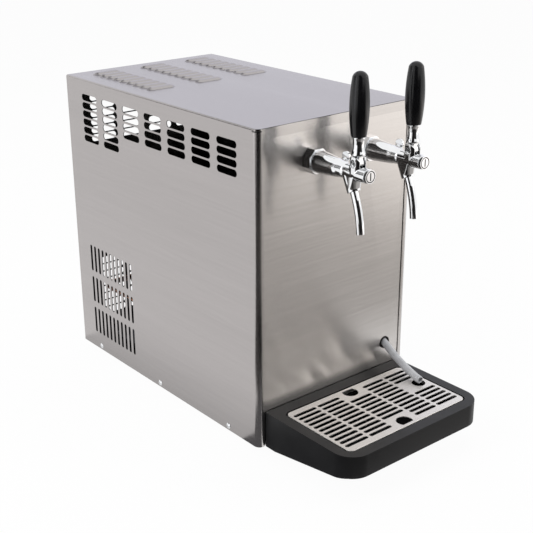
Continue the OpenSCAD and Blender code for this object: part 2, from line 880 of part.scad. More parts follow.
// Handle stem with its tongue and finger, drawn with the pivot at the origin
module handle_stem() {
  neck_r = stem_waist_d / 2;
  foot_r = stem_foot_d / 2;
  top_r = stem_top_d / 2;
  color("silver") difference() {
    union() {
      rotate([0, 90, 0]) cylinder(r = eye_r, h = tongue_t, center = true);
      translate([0, 0, (stem_foot + cut) / 2])
        cube([tongue_t, 1.5 * eye_r, stem_foot + cut], center = true);
      translate([0, 0, -pivot_rise]) cylinder(d = finger_d - 2, h = pivot_rise);
      translate([0, 0, -pivot_rise]) sphere(d = finger_d);
      rotate_extrude() polygon([
        [0, stem_foot], [foot_r - 0.6, stem_foot], [foot_r, stem_foot + 0.6], [foot_r - 0.2, stem_foot + 2],
        [neck_r + 0.9, stem_foot + 5], [neck_r + 0.2, stem_foot + 9], [neck_r, stem_foot + 13],
        [neck_r + 0.3, stem_len - 4], [top_r - 0.1, stem_len - 1.5], [top_r, stem_len - 0.6],
        [top_r, stem_len], [stud_r, stem_len], [stud_r, stem_len + stud_len], [0, stem_len + stud_len]
      ]);
    }
    rotate([0, 90, 0]) cylinder(d = pin_d + 4 * pin_play, h = tongue_t + 2 * cut, center = true);
  }
}

// Barrel-shaped grip with a domed top and a socket for the stem's stud
module handle_grip() {
  big_r = grip_d / 2;
  foot_r = grip_foot_d / 2;
  barrel = (grip_waist * grip_waist + (big_r - foot_r) * (big_r - foot_r)) / (2 * (big_r - foot_r));
  shoulder = grip_len - grip_dome;
  rise = shoulder - grip_waist;
  shoulder_r = big_r - barrel + sqrt(barrel * barrel - rise * rise);
  dome = (shoulder_r * shoulder_r + grip_dome * grip_dome) / (2 * grip_dome);
  color([0.08, 0.08, 0.09]) translate([0, 0, stem_len + fit]) difference() {
    rotate_extrude() {
      intersection() {
        translate([big_r - barrel, grip_waist]) circle(barrel, $fn = 360);
        square([big_r + cut, shoulder]);
      }
      intersection() {
        translate([0, grip_len - dome]) circle(dome, $fn = 128);
        translate([0, shoulder - fit]) square([big_r, grip_dome + cut]);
      }
    }
    translate([0, 0, -cut]) cylinder(r = stud_r + fit, h = stud_len + cut + fit);
  }
}

module plunger() {
  stem_d = plunger_d - 2;
  seal_d = rear_bore_d - 4;
  color("darkgray") difference() {
    forward() {
      translate([0, 0, plunger_tail]) cylinder(d = stem_d, h = pivot_reach - plunger_tail);
      translate([0, 0, plunger_tail]) cylinder(d = seal_d, h = seat_at - plunger_tail - run);
      translate([0, 0, pivot_reach - 8]) cylinder(d = plunger_d, h = plunger_nose - pivot_reach + 8);
    }
    translate([-finger_d / 2 - 1.5 * run, -pivot_reach - finger_d / 2 - slot_play, -finger_d / 2 - run])
      cube([finger_d + 3 * run, finger_d + 2 * slot_play, 2 * finger_d]);
  }
}

module flow_lever() {
  far = flow_boss_out + run;
  tip_d = 12;
  neck = 7;
  color("silver") {
    at_spindle() translate([0, 0, -spindle_d / 2]) cylinder(d = spindle_d, h = far + spindle_d / 2 + fit);
    translate([0, -flow_reach, 0]) rotate([flow_lean, 0, 0]) along_x(far, far + flow_blade_t) {
      circle(d = flow_hub_d);
      translate([-neck / 2, 0]) square([neck, flow_blade_len - tip_d / 2]);
      translate([0, flow_blade_len - tip_d / 2]) circle(d = tip_d);
    }
  }
}

// Tapered throttle, guided by three fins in the body's rear bore and stopped by the spindle
module flow_cone() {
  nose = flow_reach - spindle_d / 2 - run;
  fin_t = 2;
  fin_len = 7;
  color("whitesmoke") forward() {
    translate([0, 0, cone_back]) cylinder(d1 = cone_d - 4, d2 = cone_d, h = nose - cone_back - fin_len);
    translate([0, 0, nose - fin_len]) intersection() {
      cylinder(d = rear_bore_d - 2 * run, h = fin_len);
      union() {
        cylinder(d = cone_d, h = fin_len);
        for (a = [90, 210, 330]) rotate(a) translate([0, -fin_t / 2, 0]) cube([rear_bore_d, fin_t, fin_len]);
      }
    }
  }
}

// Outline of the tray in plan, drawn in by t, with its two front corners round
module tray_plan(t) {
  translate([0, t - tray_reach]) round_front(tray_w - 2 * t, tray_d - 2 * t, tray_corner_r - t);
}

// Side view of the tray between its sloping underside, raised by t, and a level top
module tray_side(t, top) {
  polygon([
    [cut - tray_gap, t], [cut - tray_gap, top], [-tray_reach - cut, top], [-tray_reach - cut, tray_nose + t],
    [-tray_reach + 10, tray_nose + t], [-18, t]
  ]);
}

module grate_plan(grow) {
  translate([0, grate_y]) rounded_plate(grate_w + 2 * grow, grate_d + 2 * grow, grate_corner_r + grow);
}

module drip_tray() {
  color([0.12, 0.12, 0.13]) seated() {
    difference() {
      intersection() {
        linear_extrude(tray_h) tray_plan(0);
        along_x(-tray_w / 2, tray_w / 2) tray_side(0, tray_h + cut);
      }
      translate([0, 0, pocket_z]) linear_extrude(tray_h) grate_plan(grate_gap);
      intersection() {
        translate([0, 0, -cut]) linear_extrude(tray_h) grate_plan(-ledge_w);
        along_x(-tray_w / 2, tray_w / 2) tray_side(tray_wall, tray_h + cut);
      }
      translate([0, 0, -cut]) linear_extrude(pocket_z - tray_wall + cut) difference() {
        tray_plan(tray_wall);
        grate_plan(tray_wall + grate_gap);
      }
    }
    for (s = [-1, 1]) translate([s * runner_gap / 2, 0, 0]) along_x(-runner_w / 2, runner_w / 2) polygon([
      [runner_len, -run - runner_t], [runner_len, -run], [-tray_gap, -run], [-tray_gap, tray_wall],
      [-tray_gap - grate_back - 6, tray_wall], [-tray_gap - grate_back - 6, 1],
      [-tray_gap - grate_back, -run - runner_t]
    ]);
  }
}

module at_grate_slots() {
  middle = (grate_cols - 1) / 2;
  for (c = [0 : grate_cols - 1], r = [0 : grate_rows - 1]) {
    finger = c == middle && (r < 2 || r > grate_rows - 3);
    drain = c == grate_cols - 1 && abs(r - drain_row) < 1.5;
    if (!finger && !drain)
      translate([(c - middle) * grate_col_pitch, grate_y + ((grate_rows - 1) / 2 - r) * grate_row_pitch])
        children();
  }
}

module finger_hole(s) {
  reach = (grate_rows - 1) / 2 * grate_row_pitch;
  translate([0, grate_y + s * (reach + finger_out)]) intersection() {
    circle(finger_r);
    translate([-finger_r, s > 0 ? -finger_r : -finger_flat]) square([2 * finger_r, finger_r + finger_flat]);
  }
}

module drip_grate() {
  lip_w = grate_w - 2 * grate_corner_r - 2;
  lip_d = grate_d - 2 * grate_corner_r - 2;
  color("gainsboro") seated() translate([0, 0, tray_h - grate_sheet]) {
    linear_extrude(grate_sheet) difference() {
      grate_plan(0);
      at_grate_slots() slot(grate_slot_len, grate_slot_w);
      finger_hole(1);
      finger_hole(-1);
      translate([drain_x, drain_y]) circle(d = drain_hole_d);
    }
    translate([0, grate_y, grate_sheet - grate_lip]) {
      for (s = [-1, 1]) translate([0, s * (grate_d - grate_sheet) / 2, (grate_lip - fit) / 2])
        cube([lip_w, grate_sheet, grate_lip - fit], center = true);
      for (s = [-1, 1]) translate([s * (grate_w - grate_sheet) / 2, 0, (grate_lip - fit) / 2])
        cube([grate_sheet, lip_d, grate_lip - fit], center = true);
    }
  }
}

module hose_grommet() {
  rim_d = grommet_hole_d + 2 * grommet_rim;
  neck_r = grommet_hole_d / 2 - fit;
  bore_r = grommet_bore_d / 2;
  color([0.1, 0.1, 0.1]) seated() translate([hose_x, panel_set, grommet_z]) forward()
    rotate_extrude() polygon([
      [bore_r, -sheet - grommet_flange], [rim_d / 2, -sheet - grommet_flange], [rim_d / 2, -sheet - fit],
      [neck_r, -sheet - fit], [neck_r, fit], [rim_d / 2, fit], [rim_d / 2 - 0.4, grommet_flange],
      [bore_r, grommet_flange]
    ]);
}

module drain_hose() {
  color("gray") seated() tube(hose_route, hose_d, 12);
}

module cold_box() {
  color("lightyellow") seated() {
    difference() {
      translate([-box_w / 2, box_front, box_z]) cube([box_w, box_d, box_h]);
      translate([box_wall - box_w / 2, box_front + box_wall, box_z + box_wall])
        cube([box_w - 2 * box_wall, box_d - 2 * box_wall, box_h]);
    }
    translate([hose_route[0].x, box_front + cut, hose_route[0].z]) forward()
      cylinder(d = stub_d, h = stub_len + cut);
  }
}

module cold_box_lid() {
  step = 6;
  color("lightyellow") seated() translate([0, 0, box_top]) difference() {
    union() {
      translate([-box_w / 2, box_front, fit]) cube([box_w, box_d, lid_t]);
      translate([box_wall + fit - box_w / 2, box_front + box_wall + fit, -step])
        cube([box_w - 2 * (box_wall + fit), box_d - 2 * (box_wall + fit), step + cut]);
    }
    at_tap_lines() translate([0, 0, -step - cut]) cylinder(d = line_d + 2 * fit, h = lid_t + step + 4 * cut);
  }
}

module at_tap_lines() {
  for (s = [-1, 1]) translate([s * tap_gap / 2, tap_line_y, 0]) children();
}

module chill_block() {
  inset = box_wall + 14;
  color("silver") seated() difference() {
    translate([inset - box_w / 2, box_front + inset, box_z + box_wall + fit])
      cube([box_w - 2 * inset, box_d - 2 * inset, box_h - box_wall - block_head]);
    at_tap_lines() translate([0, 0, box_top - block_head - block_well])
      cylinder(d = line_d + 2 * fit, h = block_well + 10);
  }
}

module beer_tap_lines() {
  bend = 24;
  foot = box_top - tap_line_dip;
  color("ivory") seated() for (s = [-1, 1]) tube(rounded_route([
    [s * tap_gap / 2, tap_line_y, foot], [s * tap_gap / 2, tap_line_y, tap_z],
    [s * tap_gap / 2, shank_tail + fit, tap_z]
  ], bend), line_d);
}

module at_inlets() {
  for (s = [-1, 1]) translate([s * inlet_x, rear_in, inlet_z]) children();
}

// Push-in couplings where the keg lines are joined
module beer_inlets() {
  out = cab_d + inlet_out - rear_in;
  tail = 14;
  bore = 17;
  color("whitesmoke") seated() at_inlets() rotate([-90, 0, 0]) difference() {
    union() {
      translate([0, 0, -tail]) cylinder(d = inlet_neck_d, h = tail + out);
      translate([0, 0, sheet + fit]) cylinder(d = inlet_d, h = inlet_flange);
      translate([0, 0, -fit - inlet_flange]) cylinder(d = inlet_d, h = inlet_flange);
      translate([0, 0, out - 6]) cylinder(d = inlet_d - 2, h = 4);
    }
    translate([0, 0, out - bore]) cylinder(d = inlet_bore_d, h = bore + cut);
    translate([0, 0, -tail - cut]) cylinder(d = 6, h = tail + out);
  }
}

module beer_supply_lines() {
  sag = 12;
  start = rear_in - 14 - fit;
  color("ivory") seated() for (s = [-1, 1]) tube(rounded_route([
    [s * inlet_x, start, inlet_z], [s * inlet_x, start - supply_lead, inlet_z],
    [s * inlet_x, box_back + supply_end, inlet_z - sag], [s * inlet_x, box_back + fit, inlet_z - sag]
  ], 18), line_d);
}

module at_comp_feet() {
  for (x = [-1, 1], y = [-1, 1])
    translate([comp_x + x * comp_foot.x, comp_y + y * comp_foot.y, 0]) children();
}

module compressor() {
  r = comp_d / 2;
  dome = 26;
  cap_r = (r * r + dome * dome) / (2 * dome);
  color([0.1, 0.1, 0.11]) seated() {
    translate([comp_x, comp_y, comp_z + comp_plate - fit]) rotate_extrude() {
      square([r, comp_h - dome]);
      intersection() {
        translate([0, comp_h - cap_r]) circle(cap_r, $fn = 180);
        translate([0, comp_h - dome - fit]) square([r, dome + cut]);
      }
      translate([0, comp_h - dome - 14]) square([r + 3, 5]);
    }
    translate([comp_x, comp_y, comp_z]) difference() {
      linear_extrude(comp_plate) rounded_plate(2 * comp_foot.x + 26, 2 * comp_foot.y + 26, 10);
      for (x = [-1, 1], y = [-1, 1]) translate([x * comp_foot.x, y * comp_foot.y, -cut])
        cylinder(d = 10, h = comp_plate + 2 * cut);
    }
  }
}

module compressor_mounts() {
  color("black") seated() at_comp_feet() translate([0, 0, sheet]) rotate_extrude() polygon([
    [0, 0], [9, 0], [8, comp_mount_h / 2], [9, comp_mount_h - fit], [4.8, comp_mount_h - fit],
    [4.8, comp_mount_h + comp_plate], [8, comp_mount_h + comp_plate + fit],
    [7, comp_mount_h + comp_plate + 4], [0, comp_mount_h + comp_plate + 4]
  ]);
}

module terminal_cover() {
  size = terminal_box;
  color([0.15, 0.15, 0.15]) seated() difference() {
    translate([comp_x - size.x / 2, comp_y - comp_d / 2 - size.y + terminal_in, comp_z + terminal_rise])
      cube(size);
    translate([comp_x, comp_y, 0]) cylinder(d = comp_d + 2 * fit, h = 2 * comp_h);
  }
}

module condenser() {
  tube_d = 7;
  plate_t = 1.5;
  first = cond_y - cond_len / 2;
  gap = (cond_len - plate_t) / (cond_fins + 1);
  color("silver") seated() {
    for (i = [0 : cond_fins + 1]) {
      thick = i == 0 || i == cond_fins + 1 ? plate_t : fin_t;
      translate([cond_x, first + i * gap, cond_z]) cube([cond_t, thick, cond_h]);
    }
    for (z = [-2 : 2]) translate([cond_x + cond_t / 2, first - 6, fan_z + z * cond_h / 6]) rotate([-90, 0, 0])
      cylinder(d = tube_d, h = cond_len + 12);
    for (y = [first, first + cond_len - plate_t])
      translate([cond_x, y, sheet + fit]) cube([cond_t, plate_t, cond_z]);
  }
}

module fan_shroud() {
  ring = 4;
  color("dimgray") seated() difference() {
    union() {
      translate([cond_x - fit - 2, cond_y - cond_len / 2, sheet + fit])
        cube([2, cond_len, cond_z + cond_h - sheet - fit]);
      translate([shroud_x, cond_y, fan_z]) rotate([0, 90, 0])
        cylinder(d = fan_d + 2 * ring + 4, h = shroud_t);
    }
    translate([shroud_x - cut, cond_y, fan_z]) rotate([0, 90, 0])
      cylinder(d = fan_d + 4, h = shroud_t + 4 * cut);
  }
}

module fan_motor() {
  back = shroud_x - 8 - motor_len;
  arm_t = 3;
  foot_w = 22;
  color("dimgray") seated() {
    translate([back, cond_y, fan_z]) rotate([0, 90, 0]) {
      cylinder(d = motor_d, h = motor_len - 6);
      cylinder(d = motor_d - 12, h = motor_len);
      cylinder(d = shaft_d, h = motor_len + 16);
    }
    translate([back + 4, cond_y - foot_w / 2, sheet + fit]) cube([arm_t, foot_w, fan_z - motor_d / 2 + 4]);
    translate([back + 4, cond_y - foot_w / 2, sheet + fit]) cube([22, foot_w, arm_t]);
  }
}

module fan_blades() {
  hub_t = 12;
  blade_t = 1.4;
  root = shroud_x - 6;
  color("gainsboro") seated() translate([root, cond_y, fan_z]) rotate([0, 90, 0]) difference() {
    union() {
      cylinder(d = hub_d, h = hub_t);
      for (i = [0 : fan_blades_n - 1]) rotate(i * 360 / fan_blades_n) intersection() {
        translate([0, 0, hub_t / 2]) rotate([fan_pitch, 0, 0])
          translate([hub_d / 4, -14, -blade_t / 2]) cube([fan_d / 2, 28, blade_t]);
        cylinder(d = fan_d, h = hub_t);
      }
    }
    translate([0, 0, -cut]) cylinder(d = shaft_d + 2 * pin_play, h = hub_t + 2 * cut);
  }
}

module discharge_pipe() {
  start = comp_z + comp_plate + comp_h;
  over = cond_z + cond_h + 30;
  across = cond_x + cond_t / 2;
  inlet_y = cond_y - cond_len / 2 + 20;
  color("peru") seated() tube(rounded_route([
    [comp_x, comp_y, start], [comp_x, comp_y, over], [across, comp_y, over], [across, inlet_y, over],
    [across, inlet_y, cond_z + cond_h + fit]
  ], 14), copper_d);
}

module suction_pipe() {
  start = suction_in - box_w / 2;
  side = suction_in - in_w / 2;
  out = box_back + suction_out;
  behind = comp_y + comp_d / 2 + suction_round;
  color("peru") seated() tube(rounded_route([
    [start, box_back + fit, suction_z], [start, out, suction_z], [side, out, suction_z],
    [side, out, suction_low_z], [side, behind, suction_low_z], [comp_x, behind, suction_low_z],
    [comp_x, comp_y + comp_d / 2 + fit, suction_low_z]
  ], 11), copper_d);
}

module filter_drier() {
  neck = 12;
  color("peru") seated() translate([drier_x, box_back + drier_y, drier_z]) rotate_extrude() polygon([
    [0, 0], [copper_d / 2, 0], [drier_r, neck], [drier_r, drier_len - neck], [copper_d / 2, drier_len],
    [0, drier_len]
  ]);
}

module liquid_line() {
  color("peru") seated() {
    tube(rounded_route([
      [cond_x + cond_t / 2, cond_y - cond_len / 2 - 6 - fit, fan_z - cond_h / 3],
      [cond_x + cond_t / 2, box_back + drier_y, fan_z - cond_h / 3],
      [drier_x, box_back + drier_y, fan_z - cond_h / 3], [drier_x, box_back + drier_y, drier_z - fit]
    ], 8), copper_d - 2);
    tube(rounded_route([
      [drier_x, box_back + drier_y, drier_z + drier_len + fit],
      [drier_x, box_back + drier_y, drier_z + drier_len + 24],
      [drier_x, box_back + fit, drier_z + drier_len + 24]
    ], 8), copper_d - 4, 8);
  }
}

module at_rear(z) {
  translate([rear_x, rear_in, z]) children();
}

module thermostat() {
  size = [36, 26, 34];
  color("whitesmoke") seated() at_rear(thermostat_z) rotate([-90, 0, 0]) {
    translate([-size.x / 2, -size.z / 2, -size.y - fit]) cube([size.x, size.z, size.y]);
    translate([0, 0, -cut]) cylinder(d = thermostat_neck_d, h = sheet + 3 + cut);
    cylinder(d = shaft_d, h = sheet + 12);
  }
}

module thermostat_knob() {
  knob_d = 30;
  knob_h = 14;
  set_off = sheet + 3 + run;
  color([0.1, 0.1, 0.1]) seated() at_rear(thermostat_z) rotate([-90, 0, 0]) translate([0, 0, set_off])
    difference() {
      union() {
        cylinder(d = knob_d, h = 4);
        cylinder(d1 = knob_d - 5, d2 = knob_d - 8, h = knob_h);
      }
      translate([0, 0, -cut]) cylinder(d = shaft_d + 2 * pin_play, h = 9 + cut);
      for (a = [0 : 30 : 330]) rotate(a) translate([knob_d / 2 - 3, 0, 5]) cylinder(d = 2.4, h = knob_h);
      translate([0, -knob_d / 4 + 1, knob_h]) cube([1.6, knob_d / 2 - 5, 1.6], center = true);
    }
}

// Mains inlet with three blades in a recess
module power_inlet() {
  flange = [34, 3, 27];
  deep = 22;
  color([0.08, 0.08, 0.08]) seated() at_rear(power_z) difference() {
    union() {
      translate([0, sheet + fit + flange.y / 2, 0]) cube(flange, center = true);
      translate([0, (sheet + fit - deep) / 2, 0])
        cube([power_w, deep + sheet + fit, power_h], center = true);
    }
    translate([0, flange.y + sheet - 8, 0]) difference() {
      cube([power_w - 3, 18, power_h - 3], center = true);
      for (x = [-7, 0, 7]) translate([x, -3, x == 0 ? 2 : -2]) cube([2, 14, 4], center = true);
    }
  }
}

module power_switch() {
  flange = [18, 2, 25];
  deep = 22;
  color([0.08, 0.08, 0.08]) seated() at_rear(switch_z) difference() {
    union() {
      translate([0, sheet + fit + flange.y / 2, 0]) cube(flange, center = true);
      translate([0, (sheet + fit - deep) / 2, 0])
        cube([switch_w, deep + sheet + fit, switch_h], center = true);
    }
    translate([0, sheet + flange.y - 6, 0]) cube([switch_w - 3, 14, switch_h - 2], center = true);
  }
}

// Rocker with its axis across the switch, one end pressed in
module power_rocker() {
  wide = switch_w - 3 - 2 * run;
  long = switch_h - 2 - 2 * run;
  color([0.6, 0.06, 0.05]) seated() at_rear(switch_z) translate([0, sheet + 2 - 1, 0]) rotate([10, 0, 0])
    along_x(-wide / 2, wide / 2) polygon([
      [-3, -long * 0.28], [-3, long * 0.28], [1, long * 0.46], [3, long * 0.46], [1.6, 0],
      [3, -long * 0.46], [1, -long * 0.46]
    ]);
}

module tap_body_left() { color("silver") seated() at_tap(-1) tap_body(); }
module tap_body_right() { color("silver") seated() at_tap(1) tap_body(); }
module spout_left() { seated() at_tap(-1) spout(); }
module spout_right() { seated() at_tap(1) spout(); }
module handle_stem_left() { seated() at_tap(-1) at_pivot() handle_stem(); }
module handle_stem_right() { seated() at_tap(1) at_pivot() handle_stem(); }
module handle_grip_left() { seated() at_tap(-1) at_pivot() handle_grip(); }
module handle_grip_right() { seated() at_tap(1) at_pivot() handle_grip(); }
module plunger_left() { seated() at_tap(-1) plunger(); }
module plunger_right() { seated() at_tap(1) plunger(); }
module flow_lever_left() { seated() at_tap(-1) flow_lever(); }
module flow_lever_right() { seated() at_tap(1) flow_lever(); }
module flow_cone_left() { seated() at_tap(-1) flow_cone(); }
module flow_cone_right() { seated() at_tap(1) flow_cone(); }

base_pan();
rubber_feet();
wrap_cover();
front_panel();
rear_panel();
cover_screws();
tray_guides();
tap_collars();
tap_shanks();
shank_nuts();
tap_body_left();
tap_body_right();
tap_end_caps();
pivot_pins();
spout_left();
spout_right();
handle_stem_left();
handle_stem_right();
handle_grip_left();
handle_grip_right();
plunger_left();
plunger_right();
flow_lever_left();
flow_lever_right();
flow_cone_left();
flow_cone_right();
drip_tray();
drip_grate();
hose_grommet();
drain_hose();
cold_box();
cold_box_lid();
chill_block();
beer_supply_lines();
beer_tap_lines();
beer_inlets();
compressor();
compressor_mounts();
terminal_cover();
condenser();
fan_shroud();
fan_motor();
fan_blades();
discharge_pipe();
suction_pipe();
liquid_line();
filter_drier();
thermostat();
thermostat_knob();
power_inlet();
power_switch();
power_rocker();
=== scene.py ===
"""Dresses the countertop draft beer cooler: brushed steel cabinet, chrome taps, black grips and drip tray."""
import json
from math import cos, radians, sin

import bpy
from mathutils import Matrix, Vector

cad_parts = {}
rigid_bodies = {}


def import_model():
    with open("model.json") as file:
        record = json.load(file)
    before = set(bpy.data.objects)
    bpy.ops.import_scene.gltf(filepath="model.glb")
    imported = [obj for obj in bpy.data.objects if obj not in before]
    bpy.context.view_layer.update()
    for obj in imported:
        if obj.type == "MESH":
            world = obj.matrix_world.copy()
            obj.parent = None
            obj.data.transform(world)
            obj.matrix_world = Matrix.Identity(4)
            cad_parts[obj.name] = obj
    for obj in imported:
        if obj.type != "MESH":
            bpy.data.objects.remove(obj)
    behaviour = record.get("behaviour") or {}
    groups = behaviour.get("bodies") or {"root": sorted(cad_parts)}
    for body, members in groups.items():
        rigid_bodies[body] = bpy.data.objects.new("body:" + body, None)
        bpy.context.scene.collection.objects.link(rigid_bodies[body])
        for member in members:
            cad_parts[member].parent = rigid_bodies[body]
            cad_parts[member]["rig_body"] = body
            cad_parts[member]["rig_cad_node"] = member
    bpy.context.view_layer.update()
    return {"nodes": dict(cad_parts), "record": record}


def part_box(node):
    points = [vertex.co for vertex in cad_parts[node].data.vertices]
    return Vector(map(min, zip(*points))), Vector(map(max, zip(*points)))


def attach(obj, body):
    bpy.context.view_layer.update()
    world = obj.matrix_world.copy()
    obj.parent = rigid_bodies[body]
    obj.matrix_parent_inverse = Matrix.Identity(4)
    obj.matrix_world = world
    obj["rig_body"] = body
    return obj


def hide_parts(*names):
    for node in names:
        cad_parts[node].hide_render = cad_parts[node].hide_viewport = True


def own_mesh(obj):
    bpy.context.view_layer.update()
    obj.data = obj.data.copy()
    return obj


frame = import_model()
nodes = frame["nodes"]
SLOT = {part["node"]: part["material_slot"] for part in frame["record"]["subparts"]}

MM = 0.001
TOUCH = 0.05 * MM
SHEET = 1.0 * MM
TAP_HEIGHT = 357 * MM

# Places on the object
cover_low, cover_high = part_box("wrap_cover")
cabinet_middle = (cover_low + cover_high) / 2
front_y = cover_low.y
cover_top = max(v.co.z for v in nodes["wrap_cover"].data.vertices if v.co.y < front_y + TOUCH)
foot_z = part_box("base_pan")[0].z
tap_z = foot_z + TAP_HEIGHT
cap_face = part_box("tap_end_caps")[0].y
tray_low, tray_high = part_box("drip_tray")

# Camera, fitted to the photograph
VIEW_AZIMUTH = radians(-39.513)
VIEW_ELEVATION = radians(21.332)
VIEW_ROLL = radians(-0.245)
VIEW_DISTANCE = 1.2259
VIEW_FIELD = radians(28.493)
VIEW_TARGET = Vector((-0.1131, front_y, foot_z + 0.240))
VIEW_NEAREST = 0.01


def place_camera():
    back = Vector((
        sin(VIEW_AZIMUTH) * cos(VIEW_ELEVATION),
        -cos(VIEW_AZIMUTH) * cos(VIEW_ELEVATION),
        sin(VIEW_ELEVATION),
    ))
    right = (-back).cross(Vector((0, 0, 1))).normalized()
    up = right.cross(-back)
    rolled_right = right * cos(VIEW_ROLL) + up * sin(VIEW_ROLL)
    rolled_up = up * cos(VIEW_ROLL) - right * sin(VIEW_ROLL)
    turn = Matrix((rolled_right, rolled_up, back)).transposed().to_4x4()
    lens = bpy.data.cameras.new("camera")
    lens.sensor_fit = "HORIZONTAL"
    lens.angle = VIEW_FIELD
    lens.clip_start = VIEW_NEAREST
    camera = bpy.data.objects.new("camera", lens)
    camera.matrix_world = Matrix.Translation(VIEW_TARGET + back * VIEW_DISTANCE) @ turn
    bpy.context.scene.collection.objects.link(camera)
    bpy.context.scene.camera = camera


place_camera()

# How a copied solid is cleaned, eased, smoothed and cast
WELD = 0.002 * MM
FLAT = radians(0.6)
CORNER = radians(34)
EASE_STEPS = 2
CAST_GRAIN = 0.5 * MM
CAST_ROUNDS = 8


def take(piece):
    """Makes a piece the only one selected, in object mode."""
    if bpy.context.object and bpy.context.object.mode != "OBJECT":
        bpy.ops.object.mode_set(mode="OBJECT")
    bpy.ops.object.select_all(action="DESELECT")
    piece.select_set(True)
    bpy.context.view_layer.objects.active = piece


def edit(piece):
    """Opens a piece in edit mode with everything selected."""
    take(piece)
    bpy.ops.object.mode_set(mode="EDIT")
    bpy.ops.mesh.select_all(action="SELECT")


def leave():
    bpy.ops.object.mode_set(mode="OBJECT")


def apply_modifier(piece, kind, **settings):
    take(piece)
    bpy.ops.object.modifier_add(type=kind)
    modifier = piece.modifiers[-1]
    for name, value in settings.items():
        setattr(modifier, name, value)
    bpy.ops.object.modifier_apply(modifier=modifier.name)


def finish_piece(piece, material, body):
    """Gives a piece its main material and the body that it rides on."""
    piece.data.materials.clear()
    piece.data.materials.append(material)
    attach(piece, body)
    return piece


def copy_node(node):
    """A merged, editable copy of a solid, with its flat faces joined up."""
    take(nodes[node])
    bpy.ops.object.duplicate()
    piece = bpy.context.object
    piece.name = f"{node}_dressed"
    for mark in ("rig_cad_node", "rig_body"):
        del piece[mark]
    piece.parent = None
    edit(piece)
    bpy.ops.mesh.remove_doubles(threshold=WELD)
    bpy.ops.mesh.dissolve_limited(angle_limit=FLAT)
    leave()
    return piece


def ease_edges(piece, width, angle=CORNER):
    """Rounds the edges that turn by more than the angle, by a width in millimetres."""
    apply_modifier(
        piece, "BEVEL", width=width * MM, segments=EASE_STEPS, limit_method="ANGLE", angle_limit=angle,
        use_clamp_overlap=True, miter_outer="MITER_ARC",
    )


def smooth_faces(piece, angle=CORNER):
    take(piece)
    bpy.ops.object.shade_smooth_by_angle(angle=angle, keep_sharp_edges=False)
    apply_modifier(piece, "WEIGHTED_NORMAL", mode="FACE_AREA", weight=60, keep_sharp=True)


def pick(piece, mode, chosen):
    """Selects the points, edges or faces of a piece that are chosen, and stays in edit mode."""
    edit(piece)
    bpy.ops.mesh.select_all(action="DESELECT")
    leave()
    kinds = ("vertices", "edges", "polygons")
    bpy.context.tool_settings.mesh_select_mode = tuple(kind == mode for kind in kinds)
    for part in getattr(piece.data, mode):
        part.select = chosen(part)
    bpy.ops.object.mode_set(mode="EDIT")


def move_at(piece, chosen, move):
    """Moves the points that lie in the chosen place."""
    pick(piece, "vertices", lambda point: chosen(point.co))
    bpy.ops.transform.translate(value=move)
    leave()


def bevel_at(piece, chosen, width, steps):
    """Bevels the edges whose two ends lie in the chosen place."""
    points = piece.data.vertices
    pick(piece, "edges", lambda edge: all(chosen(points[end].co) for end in edge.vertices))
    bpy.ops.mesh.bevel(offset=width, segments=steps, affect="EDGES")
    leave()


def paint(piece, material, chosen):
    """Gives the faces whose middle and normal are chosen a material of their own; here that paints shade."""
    piece.data.materials.append(material)
    pick(piece, "polygons", lambda face: chosen(face.center, face.normal))
    piece.active_material_index = len(piece.data.materials) - 1
    bpy.ops.object.material_slot_assign()
    leave()


def dress(node, material, ease, shape):
    """A copy of a solid, shaped further and with eased edges where given, in its place and on its body."""
    piece = copy_node(node)
    if shape:
        shape(piece)
    if ease:
        ease_edges(piece, ease)
    smooth_faces(piece)
    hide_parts(node)
    return finish_piece(piece, material, nodes[node]["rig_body"])


def cast(node, material):
    """A copy of a solid with its inner and outer corners rounded, as a polished casting has them."""
    piece = copy_node(node)
    apply_modifier(piece, "REMESH", mode="VOXEL", voxel_size=CAST_GRAIN)
    apply_modifier(piece, "SMOOTH", factor=0.5, iterations=CAST_ROUNDS)
    take(piece)
    bpy.ops.object.shade_smooth()
    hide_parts(node)
    return finish_piece(piece, material, nodes[node]["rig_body"])


# Finishes: most of a noise's values lie in this range
NOISE_LOW, NOISE_HIGH = 0.3, 0.7


def new_material(name):
    material = bpy.data.materials.new(name)
    material.use_nodes = True
    tree = material.node_tree
    return material, tree, tree.nodes["Principled BSDF"]


def put(tree, kind, **settings):
    made = tree.nodes.new(kind)
    for name, value in settings.items():
        setattr(made, name, value)
    return made


def noise(tree, vector, scale, detail, rough):
    made = put(tree, "ShaderNodeTexNoise")
    made.inputs["Scale"].default_value = scale
    made.inputs["Detail"].default_value = detail
    made.inputs["Roughness"].default_value = rough
    tree.links.new(vector, made.inputs["Vector"])
    return made.outputs["Fac"]


def spread(tree, value, low, high, to_low=0.0, to_high=1.0):
    """Maps a value's range from low to high onto another one, whose ends are numbers or sockets."""
    made = put(tree, "ShaderNodeMapRange")
    tree.links.new(value, made.inputs["Value"])
    made.inputs["From Min"].default_value = low
    made.inputs["From Max"].default_value = high
    for label, end in (("To Min", to_low), ("To Max", to_high)):
        if isinstance(end, bpy.types.NodeSocket):
            tree.links.new(end, made.inputs[label])
        else:
            made.inputs[label].default_value = end
    return made.outputs["Result"]


def between(tree, share, dark, light):
    made = put(tree, "ShaderNodeMix", data_type="RGBA")
    tree.links.new(share, made.inputs["Factor"])
    for socket, value in ((made.inputs["A"], dark), (made.inputs["B"], light)):
        tree.links.new(value, socket)
    return [socket for socket in made.outputs if socket.type == "RGBA"][0]


def average(tree, a, b, share):
    made = put(tree, "ShaderNodeMix", data_type="FLOAT")
    made.inputs["Factor"].default_value = share
    tree.links.new(a, made.inputs["A"])
    tree.links.new(b, made.inputs["B"])
    return made.outputs[0]


